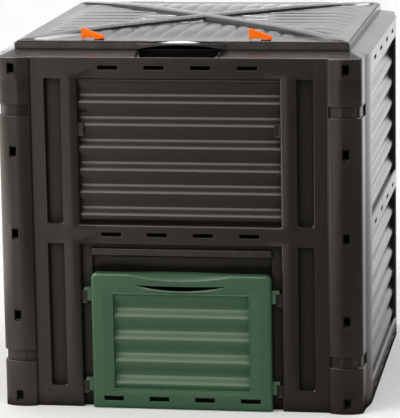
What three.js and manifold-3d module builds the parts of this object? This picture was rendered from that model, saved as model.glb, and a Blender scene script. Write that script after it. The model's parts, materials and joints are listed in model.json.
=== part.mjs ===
// Square compost bin: four interlocking louvred wall panels, a hinged lid with two turn latches
// and a lift-off hatch at the foot of the front wall.
// Millimetres, +Z up, the front faces -Y. The origin is on the ground, in the middle of the bin.
import * as THREE from 'three';
import { mergeVertices } from 'three/addons/utils/BufferGeometryUtils.js';
import Module from 'manifold-3d';

const wasm = await Module();
wasm.setup();

// Overall size, with the walls measured at mid height
const width = 600;
const depth = 600;
const wallHeight = 573;
const leanShare = 0.008; // inward lean of every wall for each unit of height
const wall = 4; // moulded wall thickness
const gap = 0.3; // clearance between pieces that touch or slide
const overrun = 2; // how far a cut runs past the face that it opens

// Corner posts, part of the front and back panels
const postWidth = 60;
const postProud = 8; // crown of a post in front of the flat face
const postStep = 4; // step from the flat face up to the post
const postStepWidth = 2;
const cornerAcross = 46; // half axes of the elliptical corner
const cornerAlong = 84;
const cornerSteps = 6;
const returnLength = 36; // how far a front or back panel wraps round the corner
const slotCount = 5;
const slotEnd = 17.5; // first and last slot centre from the ends of the wall
const slotWidth = 12;
const slotHeight = 19;
const slotInset = 32.5; // slot centre from the outer side face
const notchHeight = 18;
const notchDepth = 3.5;
const notchSlotLength = 12;

// Tongue of a side panel behind the corner post, with a hook in every slot
const tongueOverlap = 12;
const hookThickness = 3;
const hookHeight = 14;
const hookShy = 0.8; // hook tip behind the outer face

// Bands between the louvred fields, with a row of vents in each
const endBand = 35;
const midBand = 33.5;
const ventInset = 16.5; // vent rows from the ends of the wall
const ventWidth = 32;
const ventHeight = 6;
const ventEdgeFront = 34.4; // outermost vent centre from the hatch's side
const ventEdgeSide = 60.8; // the same from the end of a side field
const ventCount = 4;

// Louvred fields: a rounded saw-tooth with a short upper ledge and a long lower slope
const louvrePitch = 36.5;
const louvreLead = 31; // top of the field down to the first deep line
const ledgeShare = 0.3; // part of a pitch that the short ledge takes
const louvreSteps = 8; // facets in one pitch
const frontCrest = 7; // depths behind the outer face
const frontValley = 14.5;
const sideFrame = 46; // seam to the end of a side field
const sideCrest = 5;
const sideValley = 10.5;

// Upright pockets and crowned bars beside the front and back fields
const pocketInset = 24.5; // post to pocket
const pocketWidth = 25.5;
const pocketDepth = 12;
const barWidth = 25.5;
const barCrown = 2.5;
const barEnd = 9; // a bar runs out above and below the field
const pocketCorner = 6; // rounded lower corners of a pocket
const pocketCornerSteps = 3;
const barSteps = 5;

// Rim: a sloping ledge, a seat for the lid and an upstand inside the lid's skirt
const ledgeRise = 8;
const ledgeRunSide = 32;
const ledgeRunFront = 38;
const seatMargin = 2;
const upstandHeight = 7;
const upstandWall = 3;
const rimPlay = 1.5; // skirt to upstand

// Lid
const lidCorner = 6;
const lidCornerSteps = 3;
const skirtHeight = 13;
const skirtWall = 3;
const lidWall = 3;
const fieldRise = 2; // middle of the ribbed fields above the lid's border
const ridgeRise = 9; // crossed ridges above the lid's border
const ridgeFootWidth = 42;
const ridgeTopWidth = 32;
const ridgeCrown = 1; // middle of a ridge above its shoulders
const ridgeRampShares = [0, 0.52, 0.68, 0.9]; // places from the middle of the lid to its corner
const ridgeHeightShares = [1, 0.9, 0.55, 0.06];
const ribHeight = 4.2;
const ribMargin = 20; // end of a rib from the lid's edge
const ribFade = 28;
const ribNose = 12; // rounded end of a rib beside the ridge
const noseShare = 0.25; // part of the nose in which a rib reaches noseHeightShare of its height
const noseHeightShare = 0.66;
const ribValley = 2; // flat strip between ribs
const ribPitchSide = 40.5;
const ribPitchFront = 28;
const ribSteps = 4;

// Finger pull in the middle of the lid's front skirt, over a scoop in the rim
const pullWidth = 144;
const pullRise = 8.4;
const lipThickness = 1; // front edge of the lip
const lipSlope = 4.5; // height of the lip's slanting top in the middle
const lipCrest = 0.4; // lip above the lid's border
const lipReach = 9;
const lipSpanShare = 0.98; // part of the pull's width that the lip spans
const lipSteps = 14;
const scoopWidth = 140;
const scoopTaper = 11; // scoop narrower in front, on each side
const scoopFloor = 8; // scoop floor below the rim's outer edge
const scoopWall = 3;
const scoopLip = 1; // wall left in front of the scoop, at the rim's edge

// Lid hinges at the back
const hingeSpacing = 300;
const hingeBehind = 10; // axis behind the lid's skirt
const hingeAbove = 15; // axis above the rim's outer edge
const knuckleRadius = 7;
const knuckleLength = 40;
const earLength = 10;
const earPlay = 0.5;
const pinRadius = 2.5;
const pinHeadRadius = 4;
const pinHeadLength = 2;
const roundSides = 20;

// Turn latches on the lid
const latchSpacing = 271;
const latchInset = 14; // latch axis behind the lid's front edge
const bossRadius = 8;
const bossDrop = 2;
const bossStand = 0.9; // boss above the lid's border
const shaftRadius = 4;
const driveWidth = 5; // square end of the shaft that turns the cam
const headRadius = 4.5;
const headHeight = 3;
const hubRadius = 6;
const hubHeight = 2.5;
const finHeight = 18;
const finTipHeight = 3;
const finTail = 27.5; // tall end of the fin from the axis
const finTip = 9.5;
const finThickness = 4;
const footLength = 4;
const camDrop = 24; // cam top below the boss
const camThickness = 4;
const camReach = 30;
const camRadius = 5.5;
const camTipRadius = 4;

// Hatch recess, opening and keepers in the front panel
const recessDepth = 12;
const browTop = 6; // slanting brow above the hatch, from the top of the recess
const browEdge = 20;
const browUnder = 22;
const browDepth = 5.5; // brow's edge behind the outer face
const browInset = 16; // end of the brow from the side of the recess
const hatchLap = 16.3; // hatch over the sides of its opening
const hatchLapTop = 13;
const hatchSill = 14;
const keeperWidth = 10.8;
const keeperHeight = 21;
const keeperThickness = 3;
const keeperSetback = 3; // keeper plate behind the outer face
const keeperLow = 43; // top of the lower keepers
const keeperDrop = 32; // top of the upper keepers below the hatch's top
const spareKeeperDrop = 71; // top of the spare keepers below the top of the upper field

// Hatch
const hatchSideRoom = 18.2; // hatch to the side of its recess
const hatchHeadroom = 44.75; // hatch top to the top of its recess
const hatchFoot = 1;
const hatchProud = 8;
const hatchWall = 3;
const hatchCorner = 6;
const hatchFootCorner = 5.5;
const hatchBevel = 5;
const hatchBevelDepth = 4;
const hatchCornerSteps = 3;
const windowFrame = 36;
const windowDrop = 34.5;
const windowSill = 34;
const windowLead = 29.5;
const windowPitch = 37.1;
const windowCrest = 6;
const windowValley = 13;
const dishWidth = 16; // dished strip round the window
const dishDepth = 1.6;
const hatchVentHeight = 17;
const gripWidth = 150;
const gripDrop = 20; // tips of the grip slot below the hatch's top
const gripHeight = 6;
const gripSag = 3.5;
const gripDepth = 12;
const gripSteps = 10;
const thumbWidth = 162; // dip in the hatch's top edge, over the grip
const thumbDip = 7;
const thumbReach = 8;
const thumbRunout = 0.5;
const hookReach = 13;
const hookBar = 5.5;
const hookDrop = 16;
const hookLegWidth = 7;

// Derived places
const sideX = width / 2;
const faceY = depth / 2;
const midHeight = wallHeight / 2;
const seamY = faceY - returnLength;
const crownX = sideX - cornerAcross;
const cornerY = faceY + postProud - cornerAlong;
const postX = sideX - postWidth;
const slotX = sideX - slotInset;
const slotPitch = (wallHeight - 2 * slotEnd) / (slotCount - 1);
const seatHeight = wallHeight + ledgeRise;
const lidHalfX = sideX - ledgeRunSide;
const lidHalfY = faceY - ledgeRunFront;
const lidBorder = seatHeight + gap + skirtHeight;
const upstandOffset = skirtWall + rimPlay;
const upstandBack = upstandOffset + upstandWall;
const upperField = [midHeight + midBand / 2, wallHeight - endBand];
const lowerField = [endBand, midHeight - midBand / 2];
const frontFieldHalf = postX - pocketInset - pocketWidth - barWidth;
const sideFieldHalf = seamY - sideFrame;
const hatchHalf = frontFieldHalf - hatchSideRoom;
const hatchTop = lowerField[1] - hatchHeadroom;
const windowHalf = hatchHalf - windowFrame;
const windowTop = hatchTop - windowDrop;
const ventRows = [ventInset, midHeight, wallHeight - ventInset];
const ventPitchFront = (2 * (hatchHalf - ventEdgeFront)) / (ventCount - 1);
const ventPitchSide = (2 * (sideFieldHalf - ventEdgeSide)) / (ventCount - 1);
const hingeY = lidHalfY + hingeBehind;
const hingeZ = wallHeight + hingeAbove;
const hatchKeepers = [keeperLow, hatchTop - keeperDrop];
const slotHeights = Array.from({ length: slotCount }, (_, i) => slotEnd + i * slotPitch);
const notchHeights = [slotEnd + slotPitch / 2, wallHeight - slotEnd - slotPitch / 2];

// Solids from three.js geometry
function solid(geometry) {
  const bare = geometry.clone();
  bare.deleteAttribute('normal');
  bare.deleteAttribute('uv');
  const merged = mergeVertices(bare);
  const corners = merged.index.array;
  const triangles = [];
  for (let i = 0; i < corners.length; i += 3) {
    const [a, b, c] = [corners[i], corners[i + 1], corners[i + 2]];
    if (a !== b && b !== c && c !== a) triangles.push(a, b, c);
  }
  const mesh = new wasm.Mesh({
    numProp: 3,
    vertProperties: Float32Array.from(merged.attributes.position.array),
    triVerts: Uint32Array.from(triangles),
  });
  return new wasm.Manifold(mesh);
}

function box(x0, x1, y0, y1, z0, z1) {
  const geometry = new THREE.BoxGeometry(Math.abs(x1 - x0), Math.abs(y1 - y0), Math.abs(z1 - z0));
  return solid(geometry.translate((x0 + x1) / 2, (y0 + y1) / 2, (z0 + z1) / 2));
}

// Outline points are [across, up] pairs for extrudeX and extrudeY, and [x, y] for extrudeZ
function extruded(points, length) {
  const shape = new THREE.Shape(points.map(([a, b]) => new THREE.Vector2(a, b)));
  return new THREE.ExtrudeGeometry(shape, { depth: length, bevelEnabled: false });
}

function extrudeX(points, x0, x1) {
  const turn = new THREE.Matrix4().set(0, 0, 1, x0, 1, 0, 0, 0, 0, 1, 0, 0, 0, 0, 0, 1);
  return solid(extruded(points, x1 - x0).applyMatrix4(turn));
}

function extrudeY(points, y0, y1) {
  return solid(extruded(points, y1 - y0).rotateX(Math.PI / 2).translate(0, y1, 0));
}

function extrudeZ(points, z0, z1) {
  return solid(extruded(points, z1 - z0).translate(0, 0, z0));
}

function cylinderX(radius, x0, x1, y, z) {
  const geometry = new THREE.CylinderGeometry(radius, radius, x1 - x0, roundSides);
  return solid(geometry.rotateZ(Math.PI / 2).translate((x0 + x1) / 2, y, z));
}

function cylinderZ(radius, z0, z1, x, y) {
  const geometry = new THREE.CylinderGeometry(radius, radius, z1 - z0, roundSides);
  return solid(geometry.rotateX(Math.PI / 2).translate(x, y, (z0 + z1) / 2));
}

// A skin through closed loops of equally many points; the ends are closed by caps or by each other
function skin(loops, capped) {
  const count = loops[0].length;
  const positions = loops.flat(2);
  const faces = [];
  const bands = capped ? loops.length - 1 : loops.length;
  for (let band = 0; band < bands; band += 1) {
    const low = band * count;
    const high = ((band + 1) % loops.length) * count;
    for (let i = 0; i < count; i += 1) {
      const j = (i + 1) % count;
      faces.push(low + i, low + j, high + j, low + i, high + j, high + i);
    }
  }
  if (capped) {
    const last = (loops.length - 1) * count;
    for (const [a, b, c] of capFaces(loops[0])) faces.push(a, c, b);
    for (const [a, b, c] of capFaces(loops[loops.length - 1])) faces.push(last + a, last + b, last + c);
  }
  const geometry = new THREE.BufferGeometry();
  geometry.setAttribute('position', new THREE.Float32BufferAttribute(positions, 3));
  geometry.setIndex(faces);
  return solid(geometry);
}

// Triangles of a flat loop, found in the plane across the direction from loop to loop
function capFaces(loop) {
  const [origin] = loop.map((p) => new THREE.Vector3(...p));
  const normal = new THREE.Vector3();
  loop.forEach((p, i) => {
    const a = new THREE.Vector3(...p).sub(origin);
    const b = new THREE.Vector3(...loop[(i + 1) % loop.length]).sub(origin);
    normal.add(a.cross(b));
  });
  normal.normalize();
  const across = new THREE.Vector3(...loop[1]).sub(origin).normalize();
  const up = normal.clone().cross(across);
  const flat = loop.map((p) => {
    const from = new THREE.Vector3(...p).sub(origin);
    return new THREE.Vector2(from.dot(across), from.dot(up));
  });
  return THREE.ShapeUtils.triangulateShape(flat, []);
}

function joined(solids) {
  return solids.reduce((whole, piece) => whole.add(piece));
}

// The walls lean in as they rise: every point is drawn towards the bin's axis by its height
function leanAt(z, half) {
  return 1 - (leanShare * (z - midHeight)) / half;
}

function geometryOf(body, leans) {
  const mesh = body.getMesh();
  const positions = Float32Array.from(mesh.vertProperties);
  if (leans) {
    for (let i = 0; i < positions.length; i += 3) {
      positions[i] *= leanAt(positions[i + 2], sideX);
      positions[i + 1] *= leanAt(positions[i + 2], faceY);
    }
  }
  const geometry = new THREE.BufferGeometry();
  geometry.setAttribute('position', new THREE.BufferAttribute(positions, 3));
  geometry.setIndex(new THREE.BufferAttribute(Uint32Array.from(mesh.triVerts), 1));
  geometry.computeVertexNormals();
  return geometry;
}

function mirroredX(geometry) {
  const copy = geometry.clone().applyMatrix4(new THREE.Matrix4().makeScale(-1, 1, 1));
  const corners = copy.index.array;
  for (let i = 0; i < corners.length; i += 3) {
    [corners[i + 1], corners[i + 2]] = [corners[i + 2], corners[i + 1]];
  }
  copy.computeVertexNormals();
  return copy;
}

// Outline of the bin seen from above, drawn in by inset, anticlockwise from the front
function outline(inset) {
  const quarter = [
    [postX - postStepWidth, -(faceY - inset)],
    [postX, -(faceY + postStep - inset)],
  ];
  for (let i = 0; i <= cornerSteps; i += 1) {
    const turn = (Math.PI / 2) * (i / cornerSteps);
    const across = crownX + (cornerAcross - inset) * Math.sin(turn);
    const along = cornerY + (cornerAlong - inset) * Math.cos(turn);
    quarter.push([across, -along]);
  }
  const right = [...quarter, ...quarter.map(([x, y]) => [x, -y]).reverse()];
  const left = right.map(([x, y]) => [-x, y]).reverse();
  return [...right, ...left];
}

function loopAt(points, z) {
  return points.map(([x, y]) => [x, y, z]);
}

// The outline held within a rectangle that is true to size once the walls lean
function rimLoop(margin, z) {
  const reachX = (lidHalfX + margin) / leanAt(z, sideX);
  const reachY = (lidHalfY + margin) / leanAt(z, faceY);
  const held = (value, reach) => Math.min(reach, Math.max(-reach, value));
  return outline(0).map(([x, y]) => [held(x, reachX), held(y, reachY), z]);
}

// Upright shell between two insets of the outline
function shellBand(outer, inner, z0, z1) {
  const loops = [
    loopAt(outline(outer), z0),
    loopAt(outline(outer), z1),
    loopAt(outline(inner), z1),
    loopAt(outline(inner), z0),
  ];
  return skin(loops, false);
}

// All four walls and the rim in one ring, which the panels are cut from
function wallRing() {
  const rimTop = seatHeight + upstandHeight;
  const loops = [
    loopAt(outline(0), 0),
    loopAt(outline(0), wallHeight),
    rimLoop(seatMargin, seatHeight),
    rimLoop(-upstandOffset, seatHeight),
    rimLoop(-upstandOffset, rimTop),
    rimLoop(-upstandBack, rimTop),
    rimLoop(-upstandBack, seatHeight - wall),
    rimLoop(seatMargin, seatHeight - wall),
    loopAt(outline(wall), wallHeight - wall),
    loopAt(outline(wall), 0),
  ];
  return skin(loops, false);
}

// Points of a louvred sheet as [depth, height], from its top down to its foot
function louvreLine({ range: [foot, top], lead, crest, valley, pitch }) {
  const ledge = pitch * ledgeShare;
  const swing = (valley - crest) / 2;
  const step = pitch / louvreSteps;
  const heights = [top];
  for (let i = Math.floor(lead / step); top - lead + i * step > foot + step / 4; i -= 1) {
    const z = top - lead + i * step;
    if (top - z > step / 4) heights.push(z);
  }
  heights.push(foot);
  return heights.map((z) => {
    const below = (((top - lead - z) % pitch) + pitch) % pitch;
    const onLedge = below < ledge;
    const turn = onLedge ? below / ledge : (below - ledge) / (pitch - ledge);
    const wave = Math.cos(Math.PI * turn) * swing;
    return [crest + swing + (onLedge ? wave : -wave), z];
  });
}

// Tray behind a face: its body and the hollow that opens it to the front
function louvredTray(half, field, face, sheet) {
  const [foot, top] = field.range;
  const line = louvreLine(field).map(([d, z]) => [d - face, z]).reverse();
  const back = line.map(([y, z]) => [y + sheet, z]);
  const mouth = -face - overrun;
  const body = [
    [-face, foot - sheet],
    [back[0][0], foot - sheet],
    ...back,
    [back[back.length - 1][0], top + sheet],
    [-face, top + sheet],
  ];
  const hollow = [[mouth, top], [mouth, foot], ...line];
  return {
    body: extrudeX(body, -half - sheet, half + sheet),
    hollow: extrudeX(hollow, -half, half),
  };
}

function frontLouvres(range) {
  return { range, lead: louvreLead, crest: frontCrest, valley: frontValley, pitch: louvrePitch };
}

function sideLouvres(range) {
  return { range, lead: louvreLead, crest: sideCrest, valley: sideValley, pitch: louvrePitch };
}

function pocket(x0, x1, [foot, top], face, deep, sheet) {
  const mouth = [[x1, top], [x0, top]];
  for (const [x, first] of [[x0 + pocketCorner, 2], [x1 - pocketCorner, 3]]) {
    for (let i = 0; i <= pocketCornerSteps; i += 1) {
      const angle = (Math.PI / 2) * (first + i / pocketCornerSteps);
      const up = foot + pocketCorner + pocketCorner * Math.sin(angle);
      mouth.push([x + pocketCorner * Math.cos(angle), up]);
    }
  }
  return {
    body: box(x0 - sheet, x1 + sheet, -face, -face + deep + sheet, foot - sheet, top + sheet),
    hollow: extrudeY(mouth, -face - overrun, -face + deep),
  };
}

// Upright half-round bar that swells out of the face and runs out at both ends
function crownedBar(x0, x1, z0, z1) {
  const back = -faceY + wall / 2;
  const ends = [[z0 - barEnd, 0], [z0, barCrown], [z1, barCrown], [z1 + barEnd, 0]];
  const loops = ends.map(([z, crown]) => {
    const loop = [];
    for (let i = 0; i <= barSteps; i += 1) {
      const share = i / barSteps;
      loop.push([x0 + (x1 - x0) * share, -faceY - crown * Math.sin(Math.PI * share), z]);
    }
    return [...loop, [x1, back, z], [x0, back, z]];
  });
  return skin(loops, true);
}

function ventRow(pitch, face, z, reach) {
  const cuts = [];
  const low = z - ventHeight / 2;
  for (let i = 0; i < ventCount; i += 1) {
    const x = (i - (ventCount - 1) / 2) * pitch - ventWidth / 2;
    cuts.push(box(x, x + ventWidth, -face - overrun, -face + reach, low, low + ventHeight));
  }
  return cuts;
}

// Front and back panels

// Pockets and bars on both sides of a louvred field
function flanks(range) {
  const parts = { bodies: [], hollows: [] };
  for (const side of [-1, 1]) {
    const barEdge = frontFieldHalf + barWidth;
    const [near, far] = [side * barEdge, side * (barEdge + pocketWidth)];
    const part = pocket(Math.min(near, far), Math.max(near, far), range, faceY, pocketDepth, wall);
    parts.hollows.push(part.hollow);
    parts.bodies.push(part.body);
    const inner = side * frontFieldHalf;
    parts.bodies.push(crownedBar(Math.min(inner, near), Math.max(inner, near), ...range));
  }
  return parts;
}

// A notch wraps round each post: the wall steps in there and opens in a slot beside the seam
function notchedPosts(panel) {
  let body = panel;
  const reach = faceY + postProud + overrun;
  const limit = seamY + notchSlotLength;
  for (const z of notchHeights) {
    const [low, high] = [z - notchHeight / 2, z + notchHeight / 2];
    const floor = shellBand(notchDepth, notchDepth + wall, low - wall, high + wall);
    const cut = shellBand(-overrun - postProud, notchDepth, low, high);
    for (const side of [-1, 1]) {
      const outer = side * (sideX + overrun);
      const zone = box(side * postX, outer, -reach, -limit, low - wall, high + wall);
      const inner = side * (sideX - cornerAcross / 2);
      const slot = box(inner, outer, -limit - overrun, -seamY + overrun, low, high);
      body = body.add(floor.intersect(zone)).subtract(cut.intersect(zone)).subtract(slot);
    }
  }
  return body;
}

function postSlots() {
  const cuts = [];
  const [y0, y1] = [-faceY - postProud - overrun, -faceY + wall * 3];
  for (const side of [-1, 1]) {
    const x = side * slotX - slotWidth / 2;
    for (const z of slotHeights) {
      cuts.push(box(x, x + slotWidth, y0, y1, z - slotHeight / 2, z + slotHeight / 2));
    }
  }
  return cuts;
}

// Part of the wall ring that belongs to a front or back panel
function endRegion() {
  const far = faceY + postProud + overrun;
  const top = seatHeight + upstandHeight + overrun;
  const inner = lidHalfX - upstandBack - gap;
  const back = lidHalfY - upstandBack - overrun;
  const face = box(-sideX - overrun, sideX + overrun, -far, -seamY, -overrun, top);
  return face.add(box(-inner, inner, -far, -back, wallHeight - endBand, top));
}

function endPanel(lower) {
  const upper = louvredTray(frontFieldHalf, frontLouvres(upperField), faceY, wall);
  const parts = [flanks(upperField), flanks(lowerField)];
  const bodies = [upper.body, ...parts.flatMap((part) => part.bodies), ...lower.bodies];
  const hollows = [upper.hollow, ...parts.flatMap((part) => part.hollows), ...lower.hollows];
  let panel = joined([wallRing().intersect(endRegion()), ...bodies]);
  panel = notchedPosts(panel.subtract(joined(hollows)));
  const vents = lower.vents.flatMap((z) => ventRow(ventPitchFront, faceY, z, wall + overrun));
  return panel.subtract(joined([...postSlots(), ...vents]));
}

// Scoop behind the rim's front edge, where fingers reach under the lid
function scoop() {
  const half = scoopWidth / 2;
  const floor = wallHeight - scoopFloor;
  const back = -(lidHalfY - upstandOffset);
  const front = -faceY + wall / 2;
  const profile = [
    [front, floor - scoopWall],
    [back + scoopWall, floor - scoopWall],
    [back + scoopWall, seatHeight - wall / 2],
    [-lidHalfY, seatHeight - wall / 2],
    [front, wallHeight - wall / 2],
  ];
  const mouth = (y, z) => [
    [scoopTaper - half, y, z],
    [half - scoopTaper, y, z],
    [half, back, z],
    [-half, back, z],
  ];
  return {
    body: extrudeX(profile, -half - scoopWall, half + scoopWall),
    hollow: skin([
      mouth(-faceY + wall, floor),
      mouth(-faceY + scoopLip, wallHeight),
      mouth(-faceY + scoopLip, seatHeight + overrun),
    ], true),
  };
}

// A keeper is a small plate in the recess that the hatch's tongue drops behind
function keepers(top) {
  const plates = [];
  const y = -faceY + keeperSetback;
  for (const side of [-1, 1]) {
    const root = side * (frontFieldHalf + wall / 2);
    const tip = side * (frontFieldHalf - keeperWidth);
    plates.push(box(tip, root, y, y + keeperThickness, top - keeperHeight, top));
  }
  return plates;
}

// Recess for the hatch, with its opening, and the brow that throws rain over the hatch
function hatchRecess() {
  const top = lowerField[1];
  const mouth = -faceY - overrun;
  const floor = -faceY + recessDepth;
  const half = frontFieldHalf;
  const hatchway = hatchHalf - hatchLap;
  const brow = [
    [floor + wall / 2, top - browTop],
    [floor, top - browTop],
    [-faceY + browDepth, top - browEdge],
    [floor, top - browUnder],
    [floor + wall / 2, top - browUnder],
  ];
  return {
    body: box(-half - wall, half + wall, -faceY, floor + wall, 0, top + wall),
    hollow: box(-half, half, mouth, floor, -overrun, top),
    opening: box(-hatchway, hatchway, mouth, floor + wall + overrun, hatchSill, hatchTop - hatchLapTop),
    brow: extrudeX(brow.reverse(), -half + browInset, half - browInset),
  };
}

function frontPanel() {
  const recess = hatchRecess();
  const pull = scoop();
  const panel = endPanel({
    bodies: [recess.body, pull.body],
    hollows: [recess.hollow, recess.opening, pull.hollow],
    vents: ventRows.slice(1),
  });
  const tops = [...hatchKeepers, upperField[1] - spareKeeperDrop];
  return joined([panel, recess.brow, ...tops.flatMap(keepers)]);
}

// The back panel is made facing -Y like the front one, leaned and turned round before the hinge ears
function backPanel() {
  const lower = louvredTray(frontFieldHalf, frontLouvres(lowerField), faceY, wall);
  const flat = endPanel({ bodies: [lower.body], hollows: [lower.hollow], vents: ventRows });
  let panel = solid(geometryOf(flat, true).rotateZ(Math.PI));
  const [y0, y1] = [hingeY - knuckleRadius, hingeY + knuckleRadius];
  for (const side of [-1, 1]) {
    const x = (side * hingeSpacing) / 2;
    for (const end of [-1, 1]) {
      const inner = x + end * (knuckleLength / 2 + earPlay);
      const outer = inner + end * earLength;
      const [x0, x1] = [Math.min(inner, outer), Math.max(inner, outer)];
      const ear = cylinderX(knuckleRadius, x0, x1, hingeY, hingeZ);
      const post = box(x0, x1, y0, y1, wallHeight - wall / 2, hingeZ);
      const bore = cylinderX(pinRadius + gap, x0 - overrun, x1 + overrun, hingeY, hingeZ);
      panel = panel.add(ear).add(post).subtract(bore);
    }
  }
  return panel;
}

// Side panels

// Depth of the post's outer face where a hook comes out of its slot
function hookFace() {
  const across = (slotX + slotWidth / 2 - crownX) / cornerAcross;
  return cornerY + cornerAlong * Math.sqrt(1 - across ** 2);
}

// Tongue at one end of a side panel: it steps in behind the post and carries a hook for every slot
function tongue(end) {
  const reach = seamY - gap;
  const top = wallHeight - wall * 3;
  const inner = gap + wall * 2;
  const hookX = slotX + slotWidth / 2 - gap;
  const [join, tip] = [end * (seamY - tongueOverlap), end * (faceY + postProud)];
  const band = shellBand(wall + gap, inner, gap, top)
    .intersect(box(hookX - hookThickness, sideX, join, tip, 0, top));
  const joggle = shellBand(wall / 2, inner, gap, top)
    .intersect(box(crownX, sideX + overrun, join, end * reach, 0, top));
  let body = band.add(joggle);
  for (const z of notchHeights) {
    const spare = notchHeight / 2 + wall + gap;
    const [low, high] = [z - spare, z + spare];
    body = body.subtract(box(postX, sideX + overrun, end * (reach + gap), tip, low, high));
  }
  const root = end * (faceY - wall * 2);
  const face = end * (hookFace() - hookShy);
  for (const z of slotHeights) {
    body = body.add(box(hookX - hookThickness, hookX, root, face, z - hookHeight / 2, z + hookHeight / 2));
  }
  return body;
}

function sidePanel() {
  const reach = seamY - gap;
  const top = seatHeight + upstandHeight + overrun;
  const zone = box(lidHalfX - upstandBack, sideX + overrun, -reach, reach, -overrun, top);
  let panel = joined([wallRing().intersect(zone), tongue(-1), tongue(1)]);
  const turned = (part) => solid(geometryOf(part, false).rotateZ(Math.PI / 2));
  for (const range of [upperField, lowerField]) {
    const field = louvredTray(sideFieldHalf, sideLouvres(range), sideX, wall);
    panel = panel.add(turned(field.body)).subtract(turned(field.hollow));
  }
  const vents = ventRows.flatMap((z) => ventRow(ventPitchSide, sideX, z, wall + overrun));
  return panel.subtract(turned(joined(vents)));
}

// Lid

// Rectangle with rounded corners, anticlockwise from the front right corner
function lidLoop(inset, z) {
  const radius = Math.max(lidCorner - inset, gap);
  const [reachX, reachY] = [lidHalfX - inset - radius, lidHalfY - inset - radius];
  const points = [];
  for (let corner = 0; corner < 4; corner += 1) {
    const [sx, sy] = [corner === 0 || corner === 1 ? 1 : -1, corner === 1 || corner === 2 ? 1 : -1];
    for (let i = 0; i <= lidCornerSteps; i += 1) {
      const angle = (Math.PI / 2) * (corner - 1 + i / lidCornerSteps);
      points.push([sx * reachX + radius * Math.cos(angle), sy * reachY + radius * Math.sin(angle), z]);
    }
  }
  return points;
}

// Low pyramid under the ribs, on the lid's border
function lidPlate() {
  const middle = Math.min(lidHalfX, lidHalfY) - lidCorner * 2;
  const loops = [
    lidLoop(0, seatHeight + gap),
    lidLoop(0, lidBorder),
    lidLoop(middle, lidBorder + fieldRise),
  ];
  return skin(loops, true);
}

function spun(loop, turn) {
  const spin = new THREE.Matrix4().makeRotationZ(turn);
  return loop.map((p) => new THREE.Vector3(...p).applyMatrix4(spin).toArray());
}

// One of the four crossed ridges, from near a corner of the lid in to its middle
function ridge(turn) {
  const base = lidBorder - lidWall;
  const length = Math.hypot(lidHalfX, lidHalfY);
  const [foot, shoulder] = [ridgeFootWidth / 2, ridgeTopWidth / 2];
  const loops = ridgeRampShares.map((share, i) => {
    const along = length * share;
    const top = lidBorder + ridgeRise * ridgeHeightShares[i];
    const crown = ridgeCrown * ridgeHeightShares[i];
    return spun([
      [along, -foot, base],
      [along, -foot, lidBorder],
      [along, -shoulder, top - crown],
      [along, 0, top],
      [along, shoulder, top - crown],
      [along, foot, lidBorder],
      [along, foot, base],
    ], turn);
  });
  return skin(loops.reverse(), true);
}

// A rib of a field: it fades out towards the lid's edge and has a round nose beside the ridge
function rib(turn, offset, pitch, outer, inner) {
  const base = lidBorder - lidWall;
  const half = (pitch - ribValley) / 2;
  const run = outer - inner;
  const fade = Math.min(ribFade, run / 2);
  const nose = Math.min(ribNose, run / 3);
  const full = ribHeight * Math.min(1, run / (ribFade * 2));
  const reach = outer + ribMargin;
  const section = (along, height) => {
    const surface = lidBorder + fieldRise * (1 - along / reach);
    const loop = [];
    for (let i = 0; i <= ribSteps; i += 1) {
      const share = i / ribSteps;
      const wave = Math.sin(Math.PI * share);
      loop.push([along, offset + half * (2 * share - 1), surface + height * wave]);
    }
    loop.push([along, offset + half, base], [along, offset - half, base]);
    return spun(loop, turn);
  };
  return skin([
    section(outer, 0),
    section(outer - fade, full),
    section(inner + nose, full),
    section(inner + nose * noseShare, full * noseHeightShare),
    section(inner, 0),
  ], true);
}

// The ribs of one triangular field, which faces the way of turn
function ribbedField(turn, pitch, reach, across) {
  const ribs = [];
  const slant = Math.hypot(reach, across);
  const outer = reach - ribMargin;
  const foot = (ridgeFootWidth / 2) * (slant / across);
  const last = Math.floor((((outer - foot) / reach) * across - ribNose) / pitch);
  for (let i = -last; i <= last; i += 1) {
    const inner = foot + Math.abs(i) * pitch * (reach / across);
    ribs.push(rib(turn, i * pitch, pitch, outer, inner));
  }
  return ribs;
}

// The lid's top without its ribs is also the form of the hollow under it
function lidTop(ribbed) {
  const pieces = [lidPlate()];
  const corner = Math.atan2(lidHalfY, lidHalfX);
  for (const turn of [corner, Math.PI - corner, Math.PI + corner, -corner]) pieces.push(ridge(turn));
  for (const turn of ribbed ? [0, Math.PI] : []) {
    pieces.push(...ribbedField(turn, ribPitchSide, lidHalfX, lidHalfY));
    pieces.push(...ribbedField(turn + Math.PI / 2, ribPitchFront, lidHalfY, lidHalfX));
  }
  return joined(pieces);
}

// Height of the pull's arch over the skirt's foot, as a share of its rise, across the pull
function pullSwell(share) {
  return 1 - share ** 2;
}

// Slanting lip that flares out over the pull, deepest in the middle
function pullLip() {
  const loops = [];
  const inner = -lidHalfY + skirtWall;
  for (let i = 0; i <= lipSteps; i += 1) {
    const share = lipSpanShare * ((2 * i) / lipSteps - 1);
    const swell = pullSwell(share);
    const x = (share * pullWidth) / 2;
    const out = -lidHalfY - lipReach * swell;
    const under = seatHeight + gap + pullRise * swell;
    const edge = under + lipThickness;
    const brow = Math.min(lidBorder + lipCrest, edge + lipSlope * swell);
    loops.push([[x, out, under], [x, inner, under], [x, inner, brow], [x, -lidHalfY, brow], [x, out, edge]]);
  }
  return skin(loops, true);
}

// Arched cut through the skirt, under the lip
function pullArch() {
  const [low, half] = [seatHeight - overrun, pullWidth / 2];
  const arch = [[half, low], [-half, low]];
  for (let i = 0; i <= lipSteps; i += 1) {
    const share = (2 * i) / lipSteps - 1;
    arch.push([share * half, seatHeight + gap + pullRise * pullSwell(share)]);
  }
  return extrudeY(arch.reverse(), -lidHalfY - overrun, -lidHalfY + skirtWall + overrun);
}

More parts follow.
